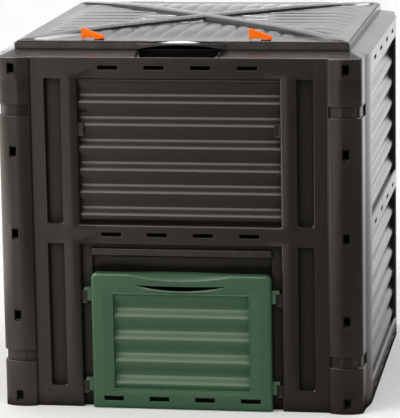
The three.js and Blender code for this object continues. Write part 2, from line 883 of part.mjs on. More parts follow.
// Arms and knuckles of the two hinges
function lidKnuckles(body) {
  let whole = body;
  for (const side of [-1, 1]) {
    const x0 = (side * hingeSpacing) / 2 - knuckleLength / 2;
    const x1 = x0 + knuckleLength;
    const [low, high] = [hingeZ - knuckleRadius / 2, lidBorder - lidWall / 2];
    const arm = box(x0, x1, lidHalfY - skirtWall / 2, hingeY, low, high);
    const bore = cylinderX(pinRadius + gap, x0 - overrun, x1 + overrun, hingeY, hingeZ);
    whole = whole.add(cylinderX(knuckleRadius, x0, x1, hingeY, hingeZ)).add(arm).subtract(bore);
  }
  return whole;
}

// Bosses that the latch shafts turn in
function latchBosses(body) {
  let whole = body;
  const y = -lidHalfY + latchInset;
  for (const side of [-1, 1]) {
    const x = (side * latchSpacing) / 2;
    const foot = lidBorder - lidWall - bossDrop;
    const boss = cylinderZ(bossRadius, foot, lidBorder + bossStand, x, y);
    const bore = cylinderZ(shaftRadius + gap, foot - overrun, lidBorder + bossStand + overrun, x, y);
    whole = whole.add(boss).subtract(bore);
  }
  return whole;
}

function lid() {
  const outer = lidTop(true);
  const lowered = solid(geometryOf(lidTop(false), false).translate(0, 0, -lidWall));
  const [halfX, halfY] = [lidHalfX - skirtWall, lidHalfY - skirtWall];
  const room = box(-halfX, halfX, -halfY, halfY, seatHeight - skirtHeight, lidBorder + ridgeRise);
  const body = outer.subtract(lowered.intersect(room)).subtract(pullArch()).add(pullLip());
  return latchBosses(lidKnuckles(body));
}

function hingePin(side) {
  const x = (side * hingeSpacing) / 2;
  const half = knuckleLength / 2 + earPlay + earLength + gap;
  const shank = cylinderX(pinRadius, x - half, x + half, hingeY, hingeZ);
  return shank.add(cylinderX(pinHeadRadius, x + half, x + half + pinHeadLength, hingeY, hingeZ));
}

// Turn latch: the fin and its shaft, made round the origin with the lid's boss top at height 0
function latchKnob() {
  const camFoot = -camDrop - camThickness;
  const half = driveWidth / 2;
  const finFoot = gap + hubHeight - overrun / 4;
  const finShape = [
    [-finTail, finFoot],
    [finTip, finFoot],
    [finTip, finFoot + finTipHeight],
    [-finTail + footLength, finHeight],
    [-finTail, finHeight],
  ];
  const feet = [-finTail, finTip - footLength].map((x) =>
    box(x, x + footLength, -finThickness / 2, finThickness / 2, gap, finFoot + finTipHeight),
  );
  return joined([
    cylinderZ(hubRadius, gap, gap + hubHeight, 0, 0),
    cylinderZ(shaftRadius, gap - camDrop, gap + hubHeight, 0, 0),
    box(-half, half, -half, half, camFoot - gap - headHeight / 2, gap - camDrop + headHeight),
    cylinderZ(headRadius, camFoot - gap - headHeight, camFoot - gap, 0, 0),
    extrudeY(finShape, -finThickness / 2, finThickness / 2),
    ...feet,
  ]);
}

// The cam lies along the lid's edge and turns out under the rim's ledge
function latchCam() {
  const points = [];
  const steps = roundSides / 2;
  for (const [x, radius, start] of [[0, camRadius, -1], [camTipRadius - camReach, camTipRadius, 1]]) {
    for (let i = 0; i <= steps; i += 1) {
      const angle = (start * Math.PI) / 2 + (Math.PI * i) / steps;
      points.push([x + radius * Math.cos(angle), radius * Math.sin(angle)]);
    }
  }
  const half = driveWidth / 2 + gap;
  const foot = -camDrop - camThickness;
  return extrudeZ(points, foot, -camDrop)
    .subtract(box(-half, half, -half, half, foot - overrun, overrun - camDrop));
}

// Hatch

// Outline of the hatch, drawn in by inset, anticlockwise seen from the front
function hatchOutline(inset) {
  const [x1, z0, z1] = [hatchHalf - inset, hatchFoot + inset, hatchTop - inset];
  const top = hatchCorner - inset;
  const foot = hatchFootCorner - inset;
  const points = [];
  for (let corner = 0; corner < 4; corner += 1) {
    const radius = corner === 1 || corner === 2 ? top : foot;
    const x = (x1 - radius) * (corner < 2 ? 1 : -1);
    const z = corner === 1 || corner === 2 ? z1 - radius : z0 + radius;
    for (let i = 0; i <= hatchCornerSteps; i += 1) {
      const angle = (Math.PI / 2) * (corner - 1 + i / hatchCornerSteps);
      points.push([x + radius * Math.cos(angle), z + radius * Math.sin(angle)]);
    }
  }
  return points;
}

// Curved slot that sags in the middle, as an outline between two arcs
function saggedSlot(half, top, height, sag) {
  const upper = [];
  const lower = [];
  for (let i = 0; i <= gripSteps; i += 1) {
    const share = (2 * i) / gripSteps - 1;
    const dip = sag * (1 - share ** 2);
    upper.push([half * share, top - dip]);
    lower.push([half * share, top - dip - height * (1 - share ** 4)]);
  }
  return [...lower.slice(1, -1), ...upper.reverse()];
}

// Slanting cut along the hatch's top edge: it dips in the middle and runs out into the bevel
function thumbCut(face) {
  const loops = [];
  for (let i = 0; i <= gripSteps; i += 1) {
    const share = (2 * i) / gripSteps - 1;
    const swell = 1 - share ** 2;
    const drop = hatchBevel - thumbRunout + thumbDip * swell;
    const back = hatchBevelDepth - thumbRunout + (thumbReach - hatchBevelDepth) * swell;
    const [spare, x] = [overrun / drop, (share * thumbWidth) / 2];
    loops.push([
      [x, -face - back * spare, hatchTop - drop - overrun],
      [x, -face + back + back * spare, hatchTop + overrun],
      [x, -face - back * spare, hatchTop + overrun],
    ]);
  }
  return skin(loops, true);
}

// The frame's face slopes in towards the window
function windowDish(face) {
  const rectangle = (margin, y) => [
    [-windowHalf - margin, y, windowSill - margin],
    [windowHalf + margin, y, windowSill - margin],
    [windowHalf + margin, y, windowTop + margin],
    [-windowHalf - margin, y, windowTop + margin],
  ];
  const slope = dishWidth / dishDepth;
  return skin([rectangle(gap, -face + dishDepth), rectangle(dishWidth + gap * slope, -face - gap)], true);
}

// Each hook rests on a keeper and has a tongue behind it
function hatchHooks() {
  const hooks = [];
  const front = -faceY + gap;
  const back = -faceY + recessDepth - gap * 2;
  const tongueFront = -faceY + keeperSetback + keeperThickness + gap;
  for (const rest of hatchKeepers) {
    const [foot, top] = [rest - hookDrop, rest + hookBar];
    for (const side of [-1, 1]) {
      const root = side * (hatchHalf - hatchWall / 2);
      const tip = side * (hatchHalf + hookReach);
      const leg = side * (hatchHalf + hookLegWidth);
      hooks.push(box(root, tip, front, back, rest + gap, top));
      hooks.push(box(root, leg, front, back, foot, top));
      hooks.push(box(root, tip, tongueFront, back, foot, top));
    }
  }
  return hooks;
}

function hatch() {
  const face = faceY + hatchProud;
  const back = -faceY + recessDepth - gap;
  const placed = (inset, y) => hatchOutline(inset).map(([x, z]) => [x, y, z]);
  const shell = skin([placed(0, back), placed(0, -face + hatchBevelDepth), placed(hatchBevel, -face)], true);
  const inset = hatchHalf - hatchWall;
  const front = -face + hatchBevelDepth;
  const hollow = box(-inset, inset, front, back + overrun, hatchFoot + hatchWall, hatchTop - hatchWall);
  const window = louvredTray(windowHalf, {
    range: [windowSill, windowTop],
    lead: windowLead,
    crest: windowCrest,
    valley: windowValley,
    pitch: windowPitch,
  }, face, hatchWall);
  const grip = hatchTop - gripDrop;
  const pan = saggedSlot(gripWidth / 2 + hatchWall, grip + hatchWall, gripHeight + hatchWall * 2, gripSag);
  const slot = saggedSlot(gripWidth / 2, grip, gripHeight, gripSag);
  const cuts = [
    window.hollow,
    windowDish(face),
    extrudeY(slot, -face - overrun, -face + gripDepth),
    ...ventRow(ventPitchFront, face, hatchVentHeight, hatchBevelDepth + overrun),
    thumbCut(face),
  ];
  const panBody = extrudeY(pan, -face + dishDepth, -face + gripDepth + hatchWall);
  const dipFoot = hatchTop - hatchBevel - thumbDip - hatchWall;
  const dipBack = -face + thumbReach + hatchWall;
  const dipBody = box(-thumbWidth / 2, thumbWidth / 2, front, dipBack, dipFoot, hatchTop - gap);
  const bodies = [shell.subtract(hollow), window.body, panBody, dipBody];
  return joined([joined(bodies).subtract(joined(cuts)), ...hatchHooks()]);
}

// Materials and the finished bin

const darkPlastic = { color: 0x38342f, roughness: 0.5, metalness: 0 };
const greenPlastic = { color: 0x4b7558, roughness: 0.45, metalness: 0 };
const orangePlastic = { color: 0xff6a10, roughness: 0.4, metalness: 0 };
const steel = { color: 0x9a9da0, roughness: 0.35, metalness: 1 };

function piece(name, geometry, finish) {
  const mesh = new THREE.Mesh(geometry, new THREE.MeshStandardMaterial({ ...finish, flatShading: true }));
  mesh.name = name;
  return mesh;
}

const bin = new THREE.Group();
const rightWall = geometryOf(sidePanel(), true);
bin.add(piece('front_panel', geometryOf(frontPanel(), true), darkPlastic));
bin.add(piece('back_panel', geometryOf(backPanel(), false), darkPlastic));
bin.add(piece('right_panel', rightWall, darkPlastic));
bin.add(piece('left_panel', mirroredX(rightWall), darkPlastic));
bin.add(piece('lid', geometryOf(lid(), false), darkPlastic));
bin.add(piece('hatch_door', geometryOf(hatch(), true), greenPlastic));
for (const [side, hand] of [[-1, 'left'], [1, 'right']]) {
  bin.add(piece(`hinge_pin_${hand}`, geometryOf(hingePin(side), false), steel));
  const latch = new THREE.Group();
  latch.position.set((side * latchSpacing) / 2, -lidHalfY + latchInset, lidBorder + bossStand);
  latch.add(piece(`latch_knob_${hand}`, geometryOf(latchKnob(), false), orangePlastic));
  latch.add(piece(`latch_cam_${hand}`, geometryOf(latchCam(), false), orangePlastic));
  bin.add(latch);
}

export default bin;
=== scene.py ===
import json
import math

import bmesh
import bpy
from mathutils import Matrix, Vector

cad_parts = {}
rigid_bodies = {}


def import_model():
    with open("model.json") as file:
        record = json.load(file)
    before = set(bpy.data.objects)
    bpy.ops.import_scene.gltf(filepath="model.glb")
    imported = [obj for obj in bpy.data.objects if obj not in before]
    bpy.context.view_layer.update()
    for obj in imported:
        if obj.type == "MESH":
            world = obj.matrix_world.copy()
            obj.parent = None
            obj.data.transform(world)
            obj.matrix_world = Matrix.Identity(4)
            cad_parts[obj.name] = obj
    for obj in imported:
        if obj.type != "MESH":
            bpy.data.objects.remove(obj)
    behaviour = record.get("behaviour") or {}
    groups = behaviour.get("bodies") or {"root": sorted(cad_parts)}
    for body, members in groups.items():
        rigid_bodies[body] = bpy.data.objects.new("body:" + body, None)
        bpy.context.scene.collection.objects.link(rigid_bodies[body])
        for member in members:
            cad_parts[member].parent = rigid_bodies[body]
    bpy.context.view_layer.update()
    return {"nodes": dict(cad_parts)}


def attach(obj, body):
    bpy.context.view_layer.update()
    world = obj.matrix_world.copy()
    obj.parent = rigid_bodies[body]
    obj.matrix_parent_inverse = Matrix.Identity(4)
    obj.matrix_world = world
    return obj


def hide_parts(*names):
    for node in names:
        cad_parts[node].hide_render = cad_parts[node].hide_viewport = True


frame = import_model()

MM = 0.001


def mm(*sizes):
    """Millimetres as metres: one number, or a list of them."""
    return sizes[0] * MM if len(sizes) == 1 else [size * MM for size in sizes]


# Sizes that the pieces share
WALL_HEIGHT = mm(573)
FACE = mm(300)
WALL, WALL_ROUND = mm(4, 0.7)
CORNER_ACROSS, CORNER_ALONG = mm(46, 84)
CROWN_X, CROWN_Y = mm(254, 224)
POST_START = mm(238)
FIELDS = (mm(35, 269.75), mm(303.25, 538))
FRONT_FIELD_HALF = mm(162.5)
SIDE_FIELD_HALF = mm(218)
BAR_END, POCKET_END = mm(190, 215.5)
SLOT_HEIGHTS = mm(17.5, 152, 286.5, 421, 555.5)
NOTCH_HEIGHTS = mm(84.75, 488.25)
VENT_HEIGHTS = mm(16.5, 286.5, 556.5)
SEAT_HEIGHT, RIM_TOP = mm(581, 588)
HINGE_X, HINGE_Y, HINGE_RADIUS = mm(148.8, 269.8, 5.5)
KEEPER_TOPS = mm(43, 193, 467)
KEEPER_START, KEEPER_END = mm(153.7), FRONT_FIELD_HALF + mm(1)
SIDES = (("left", -1), ("right", 1))

# Tolerance when places are compared, and the angles that bevels and shading go by
HAIR = mm(0.02)
FLAT_ANGLE, ROUND_ANGLE, SMOOTH_ANGLE = (math.radians(angle) for angle in (0.6, 40, 50))


def deselect_all():
    bpy.ops.object.select_all(action="DESELECT")


def edit_mode():
    bpy.ops.object.mode_set(mode="EDIT")


def object_mode():
    bpy.ops.object.mode_set(mode="OBJECT")


def select_whole():
    """Selects all of the edited mesh."""
    bpy.ops.mesh.select_all(action="SELECT")


def merge_doubles():
    select_whole()
    bpy.ops.mesh.remove_doubles(threshold=HAIR)


def work_on(piece):
    """Makes piece the only selected object and the active one."""
    deselect_all()
    piece.select_set(True)
    bpy.context.view_layer.objects.active = piece


def middle_of(item):
    if isinstance(item, bmesh.types.BMVert):
        return item.co
    return sum((v.co for v in item.verts), Vector()) / len(item.verts)


def pick(kind, test):
    """Selects the vertices, edges or faces of the edited mesh that pass the test."""
    bpy.ops.mesh.select_mode(type=kind)
    bpy.ops.mesh.select_all(action="DESELECT")
    data = bpy.context.edit_object.data
    mesh = bmesh.from_edit_mesh(data)
    chosen = 0
    for item in {"VERT": mesh.verts, "EDGE": mesh.edges, "FACE": mesh.faces}[kind]:
        if test(item):
            item.select_set(True)
            chosen += 1
    mesh.select_flush_mode()
    bmesh.update_edit_mesh(data)
    return chosen


def pick_at(kind, x=None, y=None, z=None):
    """Selects by the middle: each range is (low, high), or None for any place."""
    def inside(item):
        ranges = zip((x, y, z), middle_of(item))
        return all(r is None or r[0] <= value <= r[1] for r, value in ranges)
    return pick(kind, inside)


def cut_across(axis, places, **ranges):
    """Bisects the faces in the given ranges at each place along the axis."""
    normal = Vector((axis == "x", axis == "y", axis == "z"))
    for place in places:
        if pick_at("FACE", **ranges):
            bpy.ops.mesh.bisect(plane_co=normal * place, plane_no=normal)


def extrude_by(move):
    bpy.ops.mesh.extrude_region_move(TRANSFORM_OT_translate={"value": move})


def delete_faces(**ranges):
    if pick_at("FACE", **ranges):
        bpy.ops.mesh.delete(type="FACE")


def set_places(rule, selected=False):
    """Puts every vertex of the edited mesh, or the selected ones, where the rule says."""
    data = bpy.context.edit_object.data
    mesh = bmesh.from_edit_mesh(data)
    for v in mesh.verts:
        if v.select or not selected:
            v.co = rule(v.co.copy())
    bmesh.update_edit_mesh(data)


def apply_modifier(piece, kind, **settings):
    work_on(piece)
    modifier = piece.modifiers.new(kind.lower(), kind)
    for name, value in settings.items():
        setattr(modifier, name, value)
    bpy.ops.object.modifier_apply(modifier=modifier.name)


def soften(piece, width):
    """Rounds what is still sharp and smooths the shading, with flat faces kept flat."""
    apply_modifier(piece, "BEVEL", width=width, segments=2, limit_method="ANGLE",
                   angle_limit=ROUND_ANGLE, use_clamp_overlap=False)
    bpy.ops.object.shade_smooth_by_angle(angle=SMOOTH_ANGLE)
    apply_modifier(piece, "WEIGHTED_NORMAL", weight=60, keep_sharp=True)


def open_new(name):
    """Names the primitive that was just added, and opens it for shaping."""
    piece = bpy.context.active_object
    piece.name = piece.data.name = name
    edit_mode()
    return piece


def new_plane(name):
    deselect_all()
    bpy.ops.mesh.primitive_plane_add(size=1)
    return open_new(name)


def new_block(name, x, y, z):
    """A box between the given places, left open in edit mode for shaping."""
    deselect_all()
    bpy.ops.mesh.primitive_cube_add(size=1)
    piece = open_new(name)
    low, size = Vector((x[0], y[0], z[0])), Vector((x[1] - x[0], y[1] - y[0], z[1] - z[0]))
    set_places(lambda c: low + Vector([(c[i] + 0.5) * size[i] for i in range(3)]))
    return piece


def new_cylinder(name, radius, depth, sides=32):
    deselect_all()
    bpy.ops.mesh.primitive_cylinder_add(vertices=sides, radius=radius, depth=depth)
    return open_new(name)


def extrude_through(start, points):
    """Extrudes the selected edge from point to point of a line in plan."""
    for (x0, y0), (x1, y1) in zip([start, *points], points):
        extrude_by((x1 - x0, y1 - y0, 0))


def close_piece(piece, width):
    """Makes the faces of a shaped piece point outwards, and rounds and smooths it."""
    select_whole()
    bpy.ops.mesh.normals_make_consistent(inside=False)
    object_mode()
    soften(piece, width)
    return piece


def moved(x, y, z):
    return Matrix.Translation((x, y, z))


def turned(degrees):
    """A turn about the upright line through the middle of the bin."""
    return Matrix.Rotation(math.radians(degrees), 4, "Z")


def copies(pattern, places):
    """Puts a copy of the pattern, with its own mesh, at each named place, and removes the pattern."""
    made = []
    for name, place in places.items():
        work_on(pattern)
        bpy.ops.object.duplicate()
        piece = bpy.context.view_layer.objects.active
        piece.name = piece.data.name = name
        piece.matrix_world = place
        bpy.ops.object.transform_apply(location=True, rotation=True, scale=False)
        made.append(piece)
    pattern_mesh = pattern.data
    bpy.data.objects.remove(pattern)
    bpy.data.meshes.remove(pattern_mesh)
    return made


def copy_of(node, name):
    """A copy of a CAD node, with its doubles merged and its flat faces dissolved."""
    work_on(frame["nodes"][node])
    bpy.ops.object.duplicate()
    piece = bpy.context.view_layer.objects.active
    bpy.ops.object.parent_clear(type="CLEAR_KEEP_TRANSFORM")
    piece.name = name
    piece.data.name = name
    piece.data.materials.clear()
    edit_mode()
    merge_doubles()
    bpy.ops.mesh.dissolve_limited(angle_limit=FLAT_ANGLE)
    object_mode()
    return piece


def finish_piece(piece, body, node, material):
    """Puts the finish on a piece, and sets it in place of its CAD node."""
    piece.data.materials.append(material)
    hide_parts(node)
    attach(piece, body)


# Materials

def new_group(name, inputs, outputs):
    group = bpy.data.node_groups.new(name, "ShaderNodeTree")
    for label, kind, value in inputs:
        socket = group.interface.new_socket(name=label, in_out="INPUT", socket_type=kind)
        socket.default_value = value
    for label, kind in outputs:
        group.interface.new_socket(name=label, in_out="OUTPUT", socket_type=kind)
    return group


def new_material(name):
    """A material with its node tree and its shader."""
    material = bpy.data.materials.new(name)
    material.use_nodes = True
    return material, material.node_tree, material.node_tree.nodes["Principled BSDF"]


def feed(tree, socket, given):
    """Links another node's socket, or sets a number or a colour."""
    if isinstance(given, bpy.types.NodeSocket):
        tree.links.new(given, socket)
    else:
        socket.default_value = (*given, 1) if isinstance(given, tuple) else given


def ramp_node(tree, source, low, high, from_value, to_value, smooth=True):
    """A step, smooth or straight: from_value up to low, to_value from high on."""
    ramp = tree.nodes.new("ShaderNodeMapRange")
    ramp.interpolation_type = "SMOOTHSTEP" if smooth else "LINEAR"
    given = {"Value": source, "From Min": low, "From Max": high, "To Min": from_value, "To Max": to_value}
    for name, value in given.items():
        feed(tree, ramp.inputs[name], value)
    return ramp.outputs["Result"]


def mix_node(tree, factor, a, b, kind="FLOAT"):
    """Mixes from a to b by factor; each is a socket or a value."""
    mix = tree.nodes.new("ShaderNodeMix")
    mix.data_type = kind
    for name, value in (("Factor", factor), ("A", a), ("B", b)):
        feed(tree, mix.inputs[name], value)
    return mix.outputs["Result"]


def math_node(tree, operation, *values):
    node = tree.nodes.new("ShaderNodeMath")
    node.operation = operation
    for socket, value in zip(node.inputs, values):
        feed(tree, socket, value)
    return node.outputs["Value"]


def noise_node(tree, place, detail):
    noise = tree.nodes.new("ShaderNodeTexNoise")
    noise.inputs["Detail"].default_value = detail
    tree.links.new(place, noise.inputs["Vector"])
    return noise


def moulded_grain():
    """Fine moulded grain with slow ripples: a height for bump and a mask for colour and roughness."""
    group = new_group(
        "moulded_grain",
        [("Vector", "NodeSocketVector", (0, 0, 0)), ("Size", "NodeSocketFloat", 900.0),
         ("Ripple", "NodeSocketFloat", 0.3)],
        [("Height", "NodeSocketFloat"), ("Mask", "NodeSocketFloat")],
    )
    nodes, links = group.nodes, group.links
    given = nodes.new("NodeGroupInput")
    result = nodes.new("NodeGroupOutput")
    fine = noise_node(group, given.outputs["Vector"], 3)
    fine.inputs["Roughness"].default_value = 0.6
    links.new(given.outputs["Size"], fine.inputs["Scale"])
    slow = noise_node(group, given.outputs["Vector"], 2)
    slow.inputs["Scale"].default_value = 9
    height = mix_node(group, given.outputs["Ripple"], fine.outputs["Fac"], slow.outputs["Fac"])
    links.new(height, result.inputs["Height"])
    links.new(slow.outputs["Fac"], result.inputs["Mask"])
    return group


def rubbed_edges():
    """Mask of the convex edges that hands and stacking have rubbed paler."""
    group = new_group(
        "rubbed_edges",
        [("Vector", "NodeSocketVector", (0, 0, 0)), ("Low", "NodeSocketFloat", 0.52),
         ("High", "NodeSocketFloat", 0.6)],
        [("Mask", "NodeSocketFloat")],
    )
    nodes, links = group.nodes, group.links
    given = nodes.new("NodeGroupInput")
    result = nodes.new("NodeGroupOutput")
    sharpness = nodes.new("ShaderNodeNewGeometry").outputs["Pointiness"]
    edge = ramp_node(group, sharpness, given.outputs["Low"], given.outputs["High"], 0, 1, smooth=False)
    patches = nodes.new("ShaderNodeTexNoise")
    patches.inputs["Scale"].default_value = 40
    links.new(given.outputs["Vector"], patches.inputs["Vector"])
    links.new(math_node(group, "MULTIPLY", edge, patches.outputs["Fac"]), result.inputs["Mask"])
    return group


GRAIN = moulded_grain()
RUBBED = rubbed_edges()

# Ambient occlusion at which the gloss starts and is full, and the share of it that hollows keep: painted
# shade that dims the gloss in hollows
OPENNESS, PAINTED_SHADE_GLOSS = (0.45, 0.95), 0.2
GRAIN_SPAN, ROUGH_LOW, ROUGH_HIGH = (0.3, 0.7), -0.05, 0.06


def moulded_plastic(name, colour, shade, pale, roughness, grain_size=700, gloss=0.5, shelter=mm(30)):
    """Moulded plastic: colour drifts to shade in patches and to pale on rubbed edges; its gloss is dimmed
    in hollows as painted shade.
    """
    material, tree, shader = new_material(name)
    nodes, links = tree.nodes, tree.links
    place = nodes.new("ShaderNodeTexCoord").outputs["Object"]
    grain = nodes.new("ShaderNodeGroup")
    grain.node_tree = GRAIN
    grain.inputs["Size"].default_value = grain_size
    links.new(place, grain.inputs["Vector"])
    rubbed = nodes.new("ShaderNodeGroup")
    rubbed.node_tree = RUBBED
    links.new(place, rubbed.inputs["Vector"])
    drift = mix_node(tree, grain.outputs["Mask"], shade, colour, "RGBA")
    worn = mix_node(tree, rubbed.outputs["Mask"], drift, pale, "RGBA")
    links.new(worn, shader.inputs["Base Color"])
    # Painted shade: ambient occlusion dims the gloss in hollows, so that recesses and creases render
    # darker
    shade_occlusion = nodes.new("ShaderNodeAmbientOcclusion")
    shade_occlusion.samples = 8
    shade_occlusion.inputs["Distance"].default_value = shelter
    gloss_dimmed_as_shade = ramp_node(tree, shade_occlusion.outputs["AO"], *OPENNESS, gloss * PAINTED_SHADE_GLOSS, gloss, smooth=False)
    links.new(gloss_dimmed_as_shade, shader.inputs["Specular IOR Level"])
    rough = ramp_node(tree, grain.outputs["Height"], *GRAIN_SPAN,
                      roughness + ROUGH_LOW, roughness + ROUGH_HIGH, smooth=False)
    links.new(rough, shader.inputs["Roughness"])
    soft_edges = nodes.new("ShaderNodeBevel")
    soft_edges.samples = 6
    soft_edges.inputs["Radius"].default_value = mm(1)
    relief = nodes.new("ShaderNodeBump")
    relief.inputs["Strength"].default_value = 0.3
    relief.inputs["Distance"].default_value = mm(0.3)
    links.new(soft_edges.outputs["Normal"], relief.inputs["Normal"])
    links.new(grain.outputs["Height"], relief.inputs["Height"])
    links.new(relief.outputs["Normal"], shader.inputs["Normal"])
    return material


wall_plastic = moulded_plastic(
    "wall_plastic", (0.0110, 0.0096, 0.0080), (0.0085, 0.0074, 0.0062), (0.045, 0.041, 0.036), 0.19)
lid_plastic = moulded_plastic(
    "lid_plastic", (0.0115, 0.0105, 0.0095), (0.009, 0.008, 0.0075), (0.06, 0.057, 0.054), 0.2,
    shelter=mm(5))
hatch_plastic = moulded_plastic(
    "hatch_plastic", (0.030, 0.084, 0.042), (0.024, 0.070, 0.034), (0.09, 0.17, 0.11), 0.28)
latch_plastic = moulded_plastic(
    "latch_plastic", (1.0, 0.15, 0.0), (0.9, 0.12, 0.0), (1.0, 0.28, 0.03), 0.4, grain_size=900, gloss=0.1)
pin_plastic = moulded_plastic(
    "pin_plastic", (0.014, 0.012, 0.010), (0.010, 0.009, 0.008), (0.05, 0.045, 0.04), 0.3, grain_size=900)


# Wall panels, each made facing the front as its right half, then mirrored and turned to its side

LOUVRE_LEAD, LOUVRE_PITCH = mm(24.3, 36.5)
LEDGE_SHARE = 0.45
LOUVRE_STEPS = 8
FIELD_FLOOR, FIELD_ROUND, FIELD_MARGIN = mm(9, 3.5, 1)
FRONT_LOUVRES, SIDE_LOUVRES = mm(7, 14.5), mm(5, 10.5)
VENT_WIDTH, VENT_HALF, VENT_REACH, VENT_MARGIN = mm(32, 3, 130, 20)
END_VENTS, SIDE_VENTS = mm(37.3, 111.9), mm(52.4, 157.2)
POCKET_DEPTH, POCKET_INSET, POCKET_CORNER, POCKET_ROUND = mm(12, 9, 6, 2.2)
BAR_CROWN, BAR_RUN = mm(2.5, 9)
BAR_LINES = mm(171, 177.25, 183.5)
STEP_HEIGHT, STEP_RISE = mm(538.5, 0.5)
STEP_LINES = (STEP_HEIGHT - mm(0.3), STEP_HEIGHT + mm(0.3))

# The recess behind the hatch, with its opening, and the sunk band under the brow
RECESS_DEPTH, RECESS_ROUND = mm(12, 3.8)
OPENING_HALF, OPENING_FOOT, OPENING_TOP = mm(130, 14, 212)
BAND_HALF, BAND_FOOT, BAND_TOP, BAND_DEPTH, BAND_LEAN = mm(146, 214, 251, 5, 6)

# The corner post in plan, from the wall's face round the corner to the seam
POST_POINTS = [mm(x, y) for x, y in (
    (240, -304), (247, -306.8), (254.5, -308.3), (261.5, -308.8), (273.5, -307.8), (282, -305),
    (288, -301.8), (291, -299.2), (292.4, -296), (293, -290), (293.4, -276), (294.4, -264))]
SLOT_START, SLOT_END = POST_POINTS[3][0], POST_POINTS[4][0]
SLOT_HALF, SLOT_CORNER, SLOT_MIDDLE = mm(9.5, 3, 2)
NOTCH_HALF, NOTCH_DEPTH, NOTCH_MARGIN = mm(9, 3.5, 0.5)
POST_INNER, POST_OUTER, POST_FRONT = mm(239, 297, -310)

# A side wall's tongue in plan, from behind the seam round to its free end, and its hooks
TONGUE_POINTS = [mm(x, y) for x, y in (
    (289.8, -262), (288.2, -284), (286, -294.5), (281, -299.2), (273.5, -302), (261.5, -303),
    (256, -302.6))]
HOOK_START, HOOK_END, HOOK_HALF, HOOK_RISE = mm(263, 272, 7, 2.2)

# How far from the bin's middle planes the rim's lines lie, and how high
RIM_LINES = [(*mm(270, 264), SEAT_HEIGHT), (*mm(263.5, 257.5), SEAT_HEIGHT), (*mm(263.5, 257.5), RIM_TOP)]
SCOOP_HALF, SCOOP_TAPERED, SCOOP_BAND = mm(59, 68.5, 2)


def corner_point(turn):
    """Point of the outer corner in plan, as (x, y): turn is 0 in front and 90 at the side."""
    angle = math.radians(turn)
    return CROWN_X + CORNER_ACROSS * math.sin(angle), -CROWN_Y - CORNER_ALONG * math.cos(angle)


def half_face(name, half):
    """The right half of a wall's flat face, as one plane."""
    piece = new_plane(name)
    set_places(lambda c: Vector(((c.x + 0.5) * half, -FACE, (c.y + 0.5) * WALL_HEIGHT)))
    return piece


def louvre_depth(z, top, crest, valley, lead=LOUVRE_LEAD, pitch=LOUVRE_PITCH):
    """Depth of a louvred sheet behind its face at height z."""
    below = (top - lead - z) % pitch
    ledge = pitch * LEDGE_SHARE
    on_ledge = below < ledge
    part = below / ledge if on_ledge else (below - ledge) / (pitch - ledge)
    wave = math.cos(math.pi * part) * (valley - crest) / 2
    return (crest + valley) / 2 + (wave if on_ledge else -wave)


def louvre_lines(foot, top, lead=LOUVRE_LEAD, pitch=LOUVRE_PITCH):
    """Heights of the lines that bend a flat sheet into louvres."""
    slope = LOUVRE_STEPS + 1
    shares = [LEDGE_SHARE * i / LOUVRE_STEPS for i in range(LOUVRE_STEPS)]
    shares += [LEDGE_SHARE + (1 - LEDGE_SHARE) * i / slope for i in range(slope)]
    count = math.ceil((top - foot) / pitch) + 1
    heights = [top - lead - (row + share) * pitch for row in range(-1, count) for share in shares]
    return [z for z in heights if foot + FIELD_MARGIN < z < top - FIELD_MARGIN]


def sink_field(half, foot, top, louvres):
    """Pushes a field into the wall and bends its floor into louvres."""
    pick_at("FACE", x=(0, half), y=(-FACE - HAIR, -FACE + HAIR), z=(foot, top))
    extrude_by((0, FIELD_FLOOR, 0))
    delete_faces(x=(-HAIR, HAIR), z=(foot - HAIR, top + HAIR))
    behind = (HAIR - FACE, FIELD_FLOOR + HAIR - FACE)
    cut_across("z", louvre_lines(foot, top), x=(0, half + HAIR), y=behind, z=(foot, top))

    def bend(c):
        if c.x < half + HAIR and foot - HAIR < c.z < top + HAIR and c.y > FIELD_FLOOR - HAIR - FACE:
            c.y = louvre_depth(c.z, top, *louvres) - FACE
        return c
    set_places(bend)


def round_rim(radius, face=FACE, **ranges):
    """Rounds the front edges of what was pushed in."""
    def at_rim(edge):
        level = all(abs(v.co.y + face) < HAIR for v in edge.verts)
        inside = all(r[0] <= middle_of(edge)["xyz".index(axis)] <= r[1] for axis, r in ranges.items())
        return level and inside and len(edge.link_faces) == 2 and edge.calc_face_angle(0) > 1
    if pick("EDGE", at_rim):
        bpy.ops.mesh.bevel(offset=radius, segments=3, affect="EDGES", clamp_overlap=False)


def edges(centres, half):
    """Places of both edges of what lies about each centre."""
    return [centre + side * half for centre in centres for side in (-1, 1)]


def vent_rows(heights, reach):
    """Cuts the lines above and below each row of vents."""
    for z in heights:
        cut_across("z", [z - VENT_HALF, z + VENT_HALF], x=(0, reach), z=(z - VENT_MARGIN, z + VENT_MARGIN))


def cut_vents(centres, heights):
    for x in centres:
        for z in heights:
            delete_faces(x=(x - VENT_WIDTH / 2, x + VENT_WIDTH / 2), z=(z - VENT_HALF, z + VENT_HALF))


def raise_rim(sideways=False):
    """Extrudes the top edge into the ledge, the seat for the lid and the upstand inside it."""
    pick("EDGE", lambda e: all(v.co.z > WALL_HEIGHT - HAIR for v in e.verts))
    for *reach, z in RIM_LINES:
        reach_x, reach_y = reversed(reach) if sideways else reach
        extrude_by((0, 0, 0))
        set_places(lambda c: Vector((min(c.x, reach_x), max(c.y, -reach_y), z)), selected=True)


def finish_wall(piece):
    """Mirrors the half, and gives it its thickness and its soft edges."""
    object_mode()
    apply_modifier(piece, "MIRROR", use_axis=(True, False, False), merge_threshold=HAIR)
    apply_modifier(piece, "SOLIDIFY", thickness=WALL, offset=-1)
    soften(piece, WALL_ROUND)
    return piece


